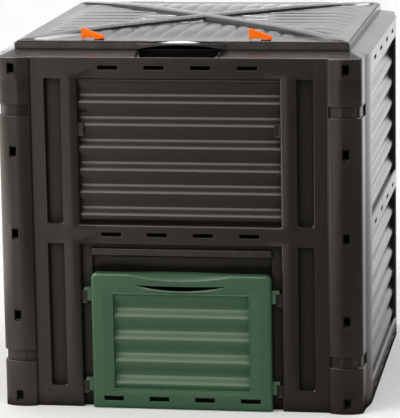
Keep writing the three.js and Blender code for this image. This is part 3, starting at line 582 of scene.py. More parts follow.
def swell_face(c):
    """Raises the upright bars beside the fields and the faint step near the wall's top."""
    if c.y > RECESS_ROUND - FACE + mm(0.1):
        return c
    if FRONT_FIELD_HALF < c.x < BAR_END:
        fade = 0
        for foot, top in FIELDS:
            nearest = min(max(c.z, foot), top)
            fade = max(fade, 1 - abs(c.z - nearest) / BAR_RUN)
        share = (c.x - FRONT_FIELD_HALF) / (BAR_END - FRONT_FIELD_HALF)
        c.y -= BAR_CROWN * math.sin(math.pi * share) * max(0, fade)
    if c.z > STEP_HEIGHT:
        c.y -= STEP_RISE
    return c


def sink_pockets():
    """Pushes in the two upright pockets beside the fields."""
    across = (BAR_END - HAIR, POCKET_END + HAIR)
    for foot, top in FIELDS:
        pick_at("VERT", x=across, z=(foot - HAIR, foot + HAIR))
        bpy.ops.mesh.bevel(affect="VERTICES", offset=POCKET_CORNER, segments=3)
        pick_at("FACE", x=(BAR_END + POCKET_INSET, POCKET_END - POCKET_INSET),
                z=(foot + POCKET_INSET, top - POCKET_INSET))
        extrude_by((0, POCKET_DEPTH, 0))
    round_rim(POCKET_ROUND, x=across)


def sink_recess():
    """Pushes in the hatch's recess, opens it, and sinks the band that the brow shades."""
    top = FIELDS[0][1]
    across = (0, FRONT_FIELD_HALF)
    pick_at("FACE", x=across, y=(-FACE - HAIR, HAIR - FACE), z=(0, top))
    extrude_by((0, RECESS_DEPTH, 0))
    delete_faces(x=(-HAIR, HAIR), z=(0, top + HAIR))
    delete_faces(z=(-HAIR, HAIR))
    floor = (RECESS_DEPTH - mm(1) - FACE, RECESS_DEPTH + mm(1) - FACE)
    cut_across("z", (OPENING_FOOT, OPENING_TOP), x=across, y=floor)
    delete_faces(x=(0, OPENING_HALF), y=floor, z=(OPENING_FOOT, OPENING_TOP))
    cut_across("z", (BAND_FOOT, BAND_TOP), x=across, y=floor)
    cut_across("x", [BAND_HALF], y=floor, z=(OPENING_TOP, top))
    pick_at("FACE", x=(0, BAND_HALF), y=floor, z=(BAND_FOOT, BAND_TOP))
    extrude_by((0, BAND_DEPTH, 0))
    sunk = RECESS_DEPTH + BAND_DEPTH - FACE
    delete_faces(x=(-HAIR, HAIR), y=(floor[1], sunk))

    def lean_under(c):
        if abs(c.z - BAND_FOOT) < HAIR and c.y > sunk - HAIR:
            c.y += BAND_LEAN
        return c
    set_places(lean_under)


def raise_post():
    """Extrudes the edge round the corner to the seam, and cuts the post's slots and notches."""
    pick("EDGE", lambda e: all(abs(v.co.x - POST_START) < HAIR for v in e.verts))
    extrude_through((POST_START, -FACE), POST_POINTS)
    post = (POST_INNER, POST_OUTER)
    cut_across("z", STEP_LINES, x=post)
    cut_across("z", edges(SLOT_HEIGHTS, SLOT_HALF), x=(SLOT_START, SLOT_END))
    cut_across("z", edges(NOTCH_HEIGHTS, NOTCH_HALF), x=post)
    slot = (SLOT_START + SLOT_CORNER, SLOT_END - SLOT_CORNER)
    for z in SLOT_HEIGHTS:
        pick("VERT", lambda v: SLOT_START - HAIR < v.co.x < SLOT_END + HAIR
             and abs(abs(v.co.z - z) - SLOT_HALF) < HAIR)
        bpy.ops.mesh.bevel(affect="VERTICES", offset=SLOT_CORNER, segments=2)
        delete_faces(x=slot, z=(z - SLOT_MIDDLE, z + SLOT_MIDDLE))
    # a notch is pushed in round the corner, and open where it meets the side wall
    flank = POST_POINTS[-2][1]
    opening = (flank + NOTCH_MARGIN, POST_POINTS[-1][1])
    for z in NOTCH_HEIGHTS:
        band = (z - NOTCH_HALF / 2, z + NOTCH_HALF / 2)
        delete_faces(x=post, y=opening, z=band)
        pick_at("FACE", x=(POST_POINTS[0][0], POST_OUTER), y=(POST_FRONT, flank - NOTCH_MARGIN), z=band)
        bpy.ops.mesh.extrude_region_shrink_fatten(TRANSFORM_OT_shrink_fatten={"value": -NOTCH_DEPTH})
        delete_faces(x=post, y=opening, z=(z - NOTCH_HALF + NOTCH_MARGIN, z + NOTCH_HALF - NOTCH_MARGIN))


def open_scoop():
    """Clears the rim over the hollow under the lid's finger pull."""
    def taper(c):
        if abs(c.x - SCOOP_HALF) < HAIR and c.z > WALL_HEIGHT + HAIR:
            c.x = SCOOP_TAPERED
        return c
    set_places(taper)
    across = (0, (SCOOP_HALF + SCOOP_TAPERED) / 2)
    delete_faces(x=across, y=(-FACE, HAIR - RIM_LINES[-1][1]), z=(WALL_HEIGHT + SCOOP_BAND, RIM_TOP))


def end_wall(name, hatchway):
    """The front wall, with its hatch recess and scoop, or the back wall."""
    piece = half_face(name, POST_START)
    cut_across("x", [*edges(END_VENTS, VENT_WIDTH / 2), FRONT_FIELD_HALF, BAR_END, POCKET_END, *BAR_LINES])
    if hatchway:
        cut_across("x", (SCOOP_HALF, OPENING_HALF))
    field_ends = [z for field in FIELDS for z in field]
    cut_across("z", field_ends)
    cut_across("z", [z + way * BAR_RUN for z, way in zip(field_ends, (-1, 1, -1, 1))],
               x=(FRONT_FIELD_HALF, BAR_END))
    cut_across("z", STEP_LINES, x=(POCKET_END, POST_START))
    vents = VENT_HEIGHTS[1 if hatchway else 0:]
    vent_rows(vents, VENT_REACH)
    sink_pockets()
    for foot, top in FIELDS[1 if hatchway else 0:]:
        sink_field(FRONT_FIELD_HALF, foot, top, FRONT_LOUVRES)
    if hatchway:
        sink_recess()
    round_rim(RECESS_ROUND, x=(0, FRONT_FIELD_HALF + HAIR))
    cut_vents(END_VENTS, vents)
    raise_post()
    set_places(swell_face)
    raise_rim()
    if hatchway:
        open_scoop()
    return finish_wall(piece)


def side_wall():
    """A side wall between its two seams, facing the front."""
    piece = half_face("side_wall", CROWN_Y)
    cut_across("x", [*edges(SIDE_VENTS, VENT_WIDTH / 2), SIDE_FIELD_HALF])
    cut_across("z", [z for field in FIELDS for z in field])
    vent_rows(VENT_HEIGHTS, SIDE_FIELD_HALF)
    for foot, top in FIELDS:
        sink_field(SIDE_FIELD_HALF, foot, top, SIDE_LOUVRES)
    round_rim(FIELD_ROUND, x=(0, SIDE_FIELD_HALF + HAIR))
    cut_vents(SIDE_VENTS, VENT_HEIGHTS)
    pick("EDGE", lambda e: all(abs(v.co.x - CROWN_Y) < HAIR for v in e.verts))
    corners = [corner_point(at) for at in (81, 72, 61.7)]
    extrude_through((CROWN_Y, -FACE), [(-y, -x) for x, y in corners])
    raise_rim(sideways=True)
    return finish_wall(piece)


def keeper():
    """Small plate that stands from the side of a recess; the hatch's tongues drop in behind it."""
    front, back, foot = mm(-297.5, -293.5, -21)
    border, dent, rounding = mm(2, 0.7, 0.5)
    half = (KEEPER_END - KEEPER_START) / 2
    piece = new_block("keeper", (-half, half), (front, back), (foot, 0))
    pick_at("FACE", y=(front - HAIR, front + HAIR))
    bpy.ops.mesh.inset(thickness=border)
    extrude_by((0, dent, 0))
    return close_piece(piece, rounding)


def brow():
    """Sloping ledge on the recess's floor that sheds rain over the hatch."""
    reach, front, spare, rounding = mm(148.5, 5.5, 1, 0.8)
    foot, top, slant, taper = mm(251.5, 262, 0.5, 3)
    depth = RECESS_DEPTH - FACE
    piece = new_block("brow", (-reach, reach), (front - FACE, depth + spare), mm(247.75, 263.75))

    def slope(c):
        if c.y < depth - spare:
            high = c.z > (foot + top) / 2
            c.z = top if high else foot
            c.y += slant if high else 0
            c.x *= 1 - taper / reach
        return c
    set_places(slope)
    return close_piece(piece, rounding)


def scoop_pan():
    """Hollow in the rim under the lid's finger pull."""
    front, back, foot = mm(-296.5, -256, 564)
    half, sheet, rounding = mm(68, 2, 0.5)
    top = SEAT_HEIGHT
    piece = new_block("scoop_pan", (-half, half), (front, back), (foot, top))
    delete_faces(z=(top - HAIR, top + HAIR))
    delete_faces(y=(front - HAIR, front + HAIR))
    object_mode()
    apply_modifier(piece, "SOLIDIFY", thickness=sheet, offset=-1)
    edit_mode()
    return close_piece(piece, rounding)


def hinge_ear():
    """Rounded ear at the back that carries the end of a hinge pin."""
    length, foot, rounding = mm(10, -11, 0.7)
    piece = new_cylinder("hinge_ear", HINGE_RADIUS, length)

    def stand(c):
        height = c.x if c.x > -HAIR else foot
        return Vector((c.z, HINGE_Y + c.y, RIM_TOP + height))
    set_places(stand)
    merge_doubles()
    return close_piece(piece, rounding)


def corner_tongue(side):
    """Strip of a side wall that lies behind the corner post, with the hooks for the post's slots."""
    foot, sheet, rounding = mm(1, 3, 0.4)
    height = WALL_HEIGHT - 2 * foot
    piece = new_plane("corner_tongue")
    start, last = TONGUE_POINTS[:2]
    set_places(lambda c: Vector((*(start if c.x > 0 else last), foot + (c.y + 0.5) * height)))
    pick("EDGE", lambda e: all(abs(v.co.x - last[0]) < HAIR for v in e.verts))
    extrude_through(last, TONGUE_POINTS[2:])
    hooks = (HOOK_START - mm(1), HOOK_END + mm(1))
    cut_across("z", edges(SLOT_HEIGHTS, HOOK_HALF), x=hooks)
    cut_across("x", (HOOK_START, HOOK_END), x=hooks)
    for z in SLOT_HEIGHTS:
        delete_faces(x=(HOOK_START, HOOK_END), z=(z - SLOT_MIDDLE, z + SLOT_MIDDLE))
        pick("EDGE", lambda e: all(abs(v.co.x - HOOK_START) < HAIR and abs(v.co.z - z) < HOOK_HALF + HAIR
                                   for v in e.verts))
        extrude_by((0, -HOOK_RISE, 0))
    object_mode()
    apply_modifier(piece, "SOLIDIFY", thickness=sheet, offset=1)
    edit_mode()
    set_places(lambda c: Vector((side * c.x, c.y, c.z)))
    return close_piece(piece, rounding)


back_wall, = copies(end_wall("end_wall", False), {"back_wall": turned(180)})
right_wall, left_wall = copies(side_wall(), {"right_wall": turned(90), "left_wall": turned(-90)})
tongue_right_front, tongue_left_back = copies(
    corner_tongue(1), {"tongue_right_front": turned(0), "tongue_left_back": turned(180)})
tongue_left_front, tongue_right_back = copies(
    corner_tongue(-1), {"tongue_left_front": turned(0), "tongue_right_back": turned(180)})
keepers = copies(keeper(), {
    "keeper_" + side_name + "_" + row_name: moved(side * (KEEPER_START + KEEPER_END) / 2, 0, top)
    for side_name, side in SIDES for row_name, top in zip(("low", "middle", "high"), KEEPER_TOPS)})
ears = copies(hinge_ear(), {
    "ear_" + side_name + "_" + end_name: moved(side * (HINGE_X + way * mm(25.5)), 0, 0)
    for side_name, side in SIDES for end_name, way in (("inner", -1), ("outer", 1))})

wall_pieces = {
    "front_panel": [end_wall("front_wall", True), brow(), scoop_pan(), *keepers],
    "back_panel": [back_wall, *ears],
    "right_panel": [right_wall, tongue_right_front, tongue_right_back],
    "left_panel": [left_wall, tongue_left_front, tongue_left_back],
}
for node, pieces in wall_pieces.items():
    for piece in pieces:
        finish_piece(piece, "bin", node, wall_plastic)


# Lid: the right back quarter of its top is shaped and mirrored, then the skirt and the pull follow

LID_X, LID_Y = mm(267, 261)
LID_FOOT, LID_BORDER = mm(581.3, 594.3)
LID_ROUND, LID_CHAMFER, LID_WALL, LID_UNDER = mm(1.6, 0.3, 2.4, 3)
LID_BAND, SKIRT_BAND = mm(6, 4)
TOP_X, TOP_Y = LID_X - LID_ROUND, LID_Y - LID_ROUND
TOP_SLANT = math.hypot(TOP_X, TOP_Y)

# The top is a grid whose cells fit both the ribs and the ridges on its diagonal
LID_CELLS = 115
SIDE_CELLS, FRONT_CELLS = 18, 12
PITCH_SIDE, PITCH_FRONT = SIDE_CELLS * TOP_Y / LID_CELLS, FRONT_CELLS * TOP_X / LID_CELLS
LID_STEP = TOP_X * TOP_Y / TOP_SLANT / LID_CELLS

RIB_HEIGHT, RIB_MARGIN, RIB_NOSE = mm(4.4, 16, 12)
GROOVE_LEAST, GROOVE_SPREAD, GROOVE_RUN = mm(0.6, 6.4, 150)
FADE_SIDE, FADE_FRONT = mm(34, 90)
RISE_SIDE, RISE_FRONT = mm(50, 110)
FIELD_CROWN = mm(2)
RIDGE_RISE, RIDGE_CROWN, RIDGE_END = mm(9, 1.3, 9)
RIDGE_HALF, RIDGE_FOOT = 9 * LID_STEP, 11 * LID_STEP
RIDGE_CLEAR, RIDGE_RUN = mm(26, 10)
RIDGE_SHAPE_SHARES = ((0, 1), (0.52, 0.95), (0.7, 0.74), (0.84, 0.45), (0.93, 0.24), (1, 0.1))
SKIRT_SHARES = (0.25, 0.4, 0.55, 0.7, 0.8, 0.92)

# The arch in the front skirt, and the share of the skirt at which its lip starts
PULL_HALF, PULL_RISE, PULL_REACH, PULL_DROP = mm(72, 8.2, 12, 4.8)
LIP_START, LIP_SPAN = 0.55, 0.37

BOSS_X, BOSS_Y, BOSS_RADIUS = mm(134.4, -246, 8)


def smooth_share(value):
    share = min(max(value, 0), 1)
    return share * share * (3 - 2 * share)


def ridge_height(share):
    """Height of the crossed ridges, as a share of their rise, from the middle of the lid to a corner."""
    for (s0, h0), (s1, h1) in zip(RIDGE_SHAPE_SHARES, RIDGE_SHAPE_SHARES[1:]):
        if share <= s1:
            return h0 + (h1 - h0) * (share - s0) / (s1 - s0)
    return 0


def groove_width(along):
    """Half the width of a groove between the ribs at the lid's sides; it narrows outwards."""
    return GROOVE_LEAST + GROOVE_SPREAD * min(1, max(0, TOP_X - RIB_MARGIN - along) / GROOVE_RUN)


def lid_point(c):
    """A point of the lid's top in its right back quarter, drawn to the groove beside it and raised."""
    x, y = c.x, c.y
    if y / TOP_Y <= x / TOP_X:
        half = SIDE_CELLS / 2
        valley = SIDE_CELLS * math.floor(y * LID_CELLS / TOP_Y / SIDE_CELLS) + half
        off = (y * LID_CELLS / TOP_Y - valley) / half
        if abs(off) > 0.05:
            width = groove_width(x) / (PITCH_SIDE / 2)
            wide = width + (abs(off) * half - 1) / (half - 1) * (1 - width)
            flat = min(1, max(0, x * TOP_Y / TOP_X - y - RIDGE_CLEAR) / RIDGE_RUN)
            moved = abs(off) + (wide - abs(off)) * flat
            y = (valley + math.copysign(half, off) * moved) * TOP_Y / LID_CELLS
    return Vector((x, y, LID_BORDER + lid_height(c.x, c.y)))


def lid_height(x, y):
    """Height of the lid's top over its border, in its right back quarter."""
    off = abs(x * TOP_Y - y * TOP_X) / TOP_SLANT
    front = y / TOP_Y > x / TOP_X
    across, along, reach, pitch = (x, y, TOP_Y, PITCH_FRONT) if front else (y, x, TOP_X, PITCH_SIDE)
    field = FIELD_CROWN * max(0, 1 - along / reach)
    part = abs(across - pitch * round(across / pitch)) / (pitch / 2)
    near = 1 - min(max((off - RIDGE_FOOT) / RIB_NOSE, 0), 1)
    fade = smooth_share((reach - RIB_MARGIN - along) / (FADE_FRONT if front else FADE_SIDE))
    crest = RIB_HEIGHT * fade * min(1, along / (RISE_FRONT if front else RISE_SIDE))
    if front:
        rib = crest * max(0, 1 - part ** 2.6 - near ** 2) ** 0.6
    else:
        rib = crest * (1 - 0.12 * part ** 2) * max(0, 1 - near ** 2) ** 0.5
        rib -= min(rib, 0.9 * groove_width(x)) if part > 0.95 else 0
    slope = min(max((RIDGE_FOOT - off) / (RIDGE_FOOT - RIDGE_HALF), 0), 1)
    crown = RIDGE_CROWN * max(0, 1 - (off / RIDGE_HALF) ** 2)
    edge = min(1, min(TOP_X - x, TOP_Y - y) / RIDGE_END)
    along_ridge = (x * TOP_X + y * TOP_Y) / TOP_SLANT ** 2
    ridge = (RIDGE_RISE * slope + crown) * ridge_height(along_ridge) * edge
    return max(field + rib, field * 0.3 + ridge)


def pull_rule(c):
    """Raises the foot of the front skirt into an arch, and draws its edge out into a lip."""
    if c.y > SKIRT_BAND - LID_Y or c.z > LID_BORDER - HAIR:
        return c
    swell = max(0, 1 - (c.x / PULL_HALF) ** 2)
    if swell == 0:
        return c
    share = (LID_BORDER - c.z) / (LID_BORDER - LID_FOOT)
    spread = swell ** 0.45
    jut = min(1, max(0, share - LIP_START) / LIP_SPAN) * spread
    edge = LID_FOOT + PULL_RISE * swell + PULL_DROP * spread
    z = LID_BORDER - min(1, share / LIP_START) * (LID_BORDER - edge) - PULL_DROP * jut
    return Vector((c.x, c.y - PULL_REACH * jut, z))


def lid_rim(out, z):
    """Extrudes the selected edge of the lid outwards, or inwards, to the height z."""
    extrude_by((0, 0, 0))

    def move(c):
        x = c.x + math.copysign(out, c.x) if abs(c.x) > LID_X - LID_BAND else c.x
        y = c.y + math.copysign(out, c.y) if abs(c.y) > LID_Y - LID_BAND else c.y
        return Vector((x, y, z))
    set_places(move, selected=True)


def ribbed_lid():
    """The lid, from a plane that is cut into a grid, raised, mirrored and given its rim."""
    piece = new_plane("ribbed_lid")
    bpy.ops.mesh.subdivide(number_cuts=LID_CELLS - 1)
    set_places(lambda c: Vector(((c.x + 0.5) * TOP_X, (c.y + 0.5) * TOP_Y, 0)))
    select_whole()
    bpy.ops.mesh.quads_convert_to_tris(quad_method="FIXED")
    set_places(lid_point)
    object_mode()
    apply_modifier(piece, "MIRROR", use_axis=(True, True, False), merge_threshold=HAIR)
    edit_mode()
    pick("EDGE", lambda e: e.is_boundary)
    for turn in (30, 60, 90):
        angle = math.radians(turn)
        step = LID_ROUND * (math.sin(angle) - math.sin(angle - math.radians(30)))
        lid_rim(step, LID_BORDER - LID_ROUND * (1 - math.cos(angle)))
    for share in SKIRT_SHARES:
        lid_rim(0, LID_BORDER - share * (LID_BORDER - LID_FOOT))
    lid_rim(-LID_CHAMFER, LID_FOOT)
    lid_rim(-LID_WALL, LID_FOOT)
    set_places(pull_rule)
    lid_rim(-LID_CHAMFER, LID_BORDER - LID_UNDER)
    bpy.ops.mesh.edge_face_add()
    select_whole()
    bpy.ops.mesh.normals_make_consistent(inside=False)
    object_mode()
    bpy.ops.object.shade_smooth_by_angle(angle=math.radians(26))
    return piece


def lid_knuckle():
    """Arm and knuckle of a hinge, bent round its pin."""
    length, reach, fall, rounding = mm(39.6, -11, 0.5, 0.8)
    piece = new_cylinder("lid_knuckle", HINGE_RADIUS, length)

    def bend(c):
        arm = c.x > -HAIR and c.y < -HINGE_RADIUS * 0.6
        return Vector((c.z, HINGE_Y + (reach if arm else c.y), RIM_TOP + c.x - (fall if arm else 0)))
    set_places(bend)
    return close_piece(piece, rounding)


def latch_boss():
    """Round boss under a latch knob."""
    height, border, dent, rounding = mm(3, 1.6, 0.6, 0.4)
    piece = new_cylinder("latch_boss", BOSS_RADIUS, height, sides=40)
    set_places(lambda c: c + Vector((0, BOSS_Y, LID_BORDER)))
    top = LID_BORDER + height / 2
    pick_at("FACE", z=(top - HAIR, top + HAIR))
    bpy.ops.mesh.inset(thickness=border)
    extrude_by((0, 0, -dent))
    return close_piece(piece, rounding)


lid_pieces = [ribbed_lid()]
lid_pieces += copies(lid_knuckle(), {
    "lid_knuckle_" + side_name: moved(side * HINGE_X, 0, 0) for side_name, side in SIDES})
lid_pieces += copies(latch_boss(), {
    "latch_boss_" + side_name: moved(side * BOSS_X, 0, 0) for side_name, side in SIDES})
for piece in lid_pieces:
    finish_piece(piece, "lid", "lid", lid_plastic)


# Hatch

HATCH_HALF, HATCH_FOOT, HATCH_TOP = mm(146.3, 1, 225)
HATCH_FACE = mm(308)
HATCH_ROUND, HATCH_SIDE, HATCH_WALL, HATCH_SOFT = mm(5, 8, 3, 0.6)
WINDOW_HALF, WINDOW_FOOT, WINDOW_TOP = mm(110.3, 34, 190.5)
WINDOW_LEAD, WINDOW_PITCH = mm(23.5, 37.1)
WINDOW_LOUVRES = mm(6, 13)
WINDOW_ROUND = mm(1.6)
DISH_SIDE, DISH_END, DISH_DEPTH = mm(16, 8, 1.8)
DISH_TOP = WINDOW_TOP + DISH_END
HATCH_VENT_FOOT, HATCH_VENT_TOP = mm(13.7, 21)

# Lines over the window: the lip's root and edge, the grip slot's top and the foot of the dip
LIP_ROOT, LIP_EDGE, SLOT_TOP, DIP_FOOT = mm(202, 204, 206, 212)
GRIP_HALF, GRIP_TIP, THUMB_HALF, GRIP_REACH = mm(74, 205.6, 82, 110)
GRIP_PITCH, GRIP_LINES = mm(6.2), 14
DIP_DEPTH, DIP_SLOPE, DIP_ROUND = mm(8, 6, 3.4)

# How far these lines move backwards and down at the middle of the grip
DIP_FOOT_MOVE, SLOT_TOP_MOVE = mm(0.8, 4.5), mm(1.4, 1.8)
LIP_EDGE_MOVE, LIP_ROOT_MOVE = mm(-0.6, 7.5), mm(-2.2, 6.7)
DISH_TOP_FALL, SLOT_GAP, LINE_BAND = mm(5, 0.3, 0.9)


def hatch_sag(c):
    """Dips the top edge, and opens the grip slot with a lip under it."""
    def on(line):
        return abs(c.z - line) < LINE_BAND

    if c.z < DISH_TOP - LINE_BAND or abs(c.x) > GRIP_REACH:
        return c
    dip = max(0, 1 - (c.x / THUMB_HALF) ** 2)
    bow = max(0, 1 - (c.x / GRIP_HALF) ** 2)
    if c.z > HATCH_TOP - HATCH_ROUND - HAIR:
        fall = min(1, (HATCH_TOP - c.z) / DIP_ROUND) * dip
        return c + Vector((0, DIP_SLOPE * (dip - fall), -DIP_DEPTH * fall))
    if on(DIP_FOOT):
        back, down = DIP_FOOT_MOVE
        return c + Vector((0, back * dip, -down * dip))
    if on(SLOT_TOP):
        back, down = SLOT_TOP_MOVE
        return Vector((c.x, c.y + back * bow, GRIP_TIP - down * bow))
    if on(LIP_EDGE):
        back, down = LIP_EDGE_MOVE
        return Vector((c.x, c.y + back * bow, GRIP_TIP - SLOT_GAP - down * bow))
    if on(LIP_ROOT):
        back, down = LIP_ROOT_MOVE
        return c + Vector((0, back * bow ** 0.7, -down * bow))
    return c - Vector((0, 0, DISH_TOP_FALL * bow))


def window_dish(c):
    """Slopes the frame in towards the window."""
    side = (abs(c.x) - WINDOW_HALF) / DISH_SIDE
    end = max(c.z - WINDOW_TOP, WINDOW_FOOT - c.z) / DISH_END
    inside = 1 - max(side, end, 0)
    if inside > 0 and c.y < HAIR - HATCH_FACE:
        c.y += DISH_DEPTH * inside
    return c


def sink_window():
    """Pushes in the hatch's window and bends its floor into louvres."""
    floor = mm(9)
    inside = (0, WINDOW_HALF + HAIR)
    pick_at("FACE", x=inside, z=(WINDOW_FOOT, WINDOW_TOP))
    extrude_by((0, floor, 0))
    delete_faces(x=(-HAIR, HAIR), z=(WINDOW_FOOT - HAIR, WINDOW_TOP + HAIR), y=(HAIR - HATCH_FACE, 0))
    lines = louvre_lines(WINDOW_FOOT, WINDOW_TOP, WINDOW_LEAD, WINDOW_PITCH)
    behind = (HAIR - HATCH_FACE, floor + HAIR - HATCH_FACE)
    cut_across("z", lines, x=inside, y=behind, z=(WINDOW_FOOT, WINDOW_TOP))

    def bend(c):
        if c.y > floor - HAIR - HATCH_FACE and c.x < WINDOW_HALF + HAIR:
            c.y = louvre_depth(c.z, WINDOW_TOP, *WINDOW_LOUVRES, WINDOW_LEAD, WINDOW_PITCH) - HATCH_FACE
        return c
    set_places(bend)
    round_rim(WINDOW_ROUND, face=HATCH_FACE, x=inside, z=(WINDOW_FOOT - HAIR, WINDOW_TOP + HAIR))


def round_hatch():
    """Rounds the hatch's edge backwards in steps, with its upper corner swept round."""
    side, foot, top = HATCH_HALF - HATCH_ROUND, HATCH_FOOT + HATCH_ROUND, HATCH_TOP - HATCH_ROUND

    def at_edge(e):
        m = middle_of(e)
        outer = m.x > side - HAIR or m.z < foot + HAIR or m.z > top - HAIR
        at_corner = m.x > side - HATCH_ROUND and m.y < HAIR - HATCH_FACE
        return e.is_boundary and (outer or at_corner)

    pick("VERT", lambda v: v.co.x > side - HAIR and v.co.z > top - HAIR)
    bpy.ops.mesh.bevel(affect="VERTICES", offset=HATCH_ROUND, segments=4)
    pick("EDGE", at_edge)
    last_out, last_back = 0, 0
    for turn in (22.5, 45, 67.5, 90):
        angle = math.radians(turn)
        out = HATCH_ROUND * math.sin(angle) - last_out
        back = HATCH_ROUND * (1 - math.cos(angle)) - last_back
        last_out, last_back = last_out + out, last_back + back
        extrude_by((0, 0, 0))

        def sweep(c):
            x = min(c.x, side - HATCH_ROUND)
            z = min(max(c.z, foot + HATCH_ROUND), top - HATCH_ROUND)
            way = Vector((c.x - x, 0, c.z - z))
            square = c.z < WINDOW_FOOT or way.length < HAIR
            size = max(abs(way.x), abs(way.z), HAIR) if square else way.length
            return c + way / size * out + Vector((0, back, 0))
        set_places(sweep, selected=True)
    extrude_by((0, HATCH_SIDE, 0))


def hatch_shell():
    """The hatch's shell: window, vents, dish, rounded edge and grip slot on a half that is mirrored."""
    piece = new_plane("hatch_shell")
    width, height = HATCH_HALF - HATCH_ROUND, HATCH_TOP - HATCH_FOOT - 2 * HATCH_ROUND
    foot = HATCH_FOOT + HATCH_ROUND
    set_places(lambda c: Vector(((c.x + 0.5) * width, -HATCH_FACE, foot + (c.y + 0.5) * height)))
    cut_across("x", [*edges(END_VENTS, VENT_WIDTH / 2), WINDOW_HALF, WINDOW_HALF + DISH_SIDE])
    cut_across("z", (WINDOW_FOOT - DISH_END, WINDOW_FOOT, WINDOW_TOP, DISH_TOP))
    cut_across("z", (HATCH_VENT_FOOT, HATCH_VENT_TOP), x=(0, VENT_REACH), z=(0, WINDOW_FOOT - DISH_END))
    head = (DISH_TOP, HATCH_TOP)
    cut_across("z", (LIP_ROOT, LIP_EDGE, SLOT_TOP, DIP_FOOT), x=(0, HATCH_HALF), z=head)
    cut_across("x", [GRIP_PITCH * (i + 1) for i in range(GRIP_LINES)], z=head)
    sink_window()
    cut_vents(END_VENTS, [(HATCH_VENT_FOOT + HATCH_VENT_TOP) / 2])
    round_hatch()
    set_places(window_dish)
    slot = (LIP_EDGE, SLOT_TOP)
    delete_faces(x=(0, GRIP_HALF - mm(2)), z=slot, y=(-HATCH_FACE - HAIR, -HATCH_FACE + HAIR))
    set_places(hatch_sag)
    object_mode()
    apply_modifier(piece, "MIRROR", use_axis=(True, False, False), merge_threshold=HAIR)
    edit_mode()
    merge_doubles()
    bpy.ops.mesh.normals_make_consistent(inside=False)
    object_mode()
    apply_modifier(piece, "SOLIDIFY", thickness=HATCH_WALL, offset=-1)
    soften(piece, HATCH_SOFT)
    return piece


def hatch_hook(side):
    """Hook at the side of the hatch: a bar that rests on its keeper, over a leg."""
    overlap, reach, bar_reach, rounding = mm(1, 7, 5.5, 0.8)
    leg_foot, bar_foot, bar_top = mm(-16, 0.4, 5.5)
    end = side * (HATCH_HALF + reach)
    across = sorted((side * (HATCH_HALF - overlap), end))
    piece = new_block("hatch_hook", across, mm(-299.6, -289), (leg_foot, bar_top))
    cut_across("z", [bar_foot])
    pick_at("FACE", x=(end - HAIR, end + HAIR), z=(bar_foot, bar_top))
    extrude_by((side * bar_reach, 0, 0))
    return close_piece(piece, rounding)


hatch_pieces = [hatch_shell()]
for side_name, side in SIDES:
    hatch_pieces += copies(hatch_hook(side), {
        "hook_" + side_name + "_" + row_name: moved(0, 0, rest)
        for row_name, rest in zip(("low", "high"), KEEPER_TOPS)})
for piece in hatch_pieces:
    finish_piece(piece, "hatch", "hatch_door", hatch_plastic)

for side, _ in SIDES:
    for part in ("knob", "cam"):
        node = "latch_" + part + "_" + side
        piece = copy_of(node, "turn_" + part + "_" + side)
        soften(piece, mm(0.5))
        finish_piece(piece, "latch_" + side, node, latch_plastic)
    node = "hinge_pin_" + side
    piece = copy_of(node, "pivot_pin_" + side)
    soften(piece, mm(0.4))
    finish_piece(piece, "bin", node, pin_plastic)


# Floor, light and camera

WARM, NEUTRAL = (1.0, 0.89, 0.77), (1.0, 0.99, 1.02)

# What the plastic mirrors in the floor: a zone starts and ends at a place, with a level at each
FLOOR_SLANT = -0.164
LEFT_ZONE, RIGHT_ZONE = (-0.5, 0.05, 1.25, 0.55), (0, 0.4, 1, 0.4)
PASSED_ZONE, PASSED_LEVEL = (-0.8, -0.55, 1, 0), 0.95
FAR_LEFT_ZONE, BESIDE_ZONE, BESIDE_LEVEL = (-1.2, -0.9, 1, 0), (-1.7, -1.2, 0, 1), 3.8
BEHIND_ZONE, BACK_ZONE, UNDER_ZONE = (0.2, 2.4, 0.6, 1.3), (-0.35, 0.3, 0, 1), (*mm(300, 330), 0, 1)

# What it mirrors in the backdrop, by direction
SKY_LEFT, SKY_RISEN, SKY_LOW = (-0.35, 0.25, 5.2, 0.1), (0.11, 0.24, 0, 1), 0.25
SKY_HIGH, SKY_BACK, SKY_TOP = (0.62, 0.78, 0, 1), (-0.3, 0.3, 0, 1), 0.4
BACK_LOW, GLOW_START, GLOW_END, GLOW = (0.3, 0.5, 1.1, 0.35), (0.68, 0.73, 0, 1), (0.88, 0.93, 0, 1), 16
SKY_LEVEL = 0.95


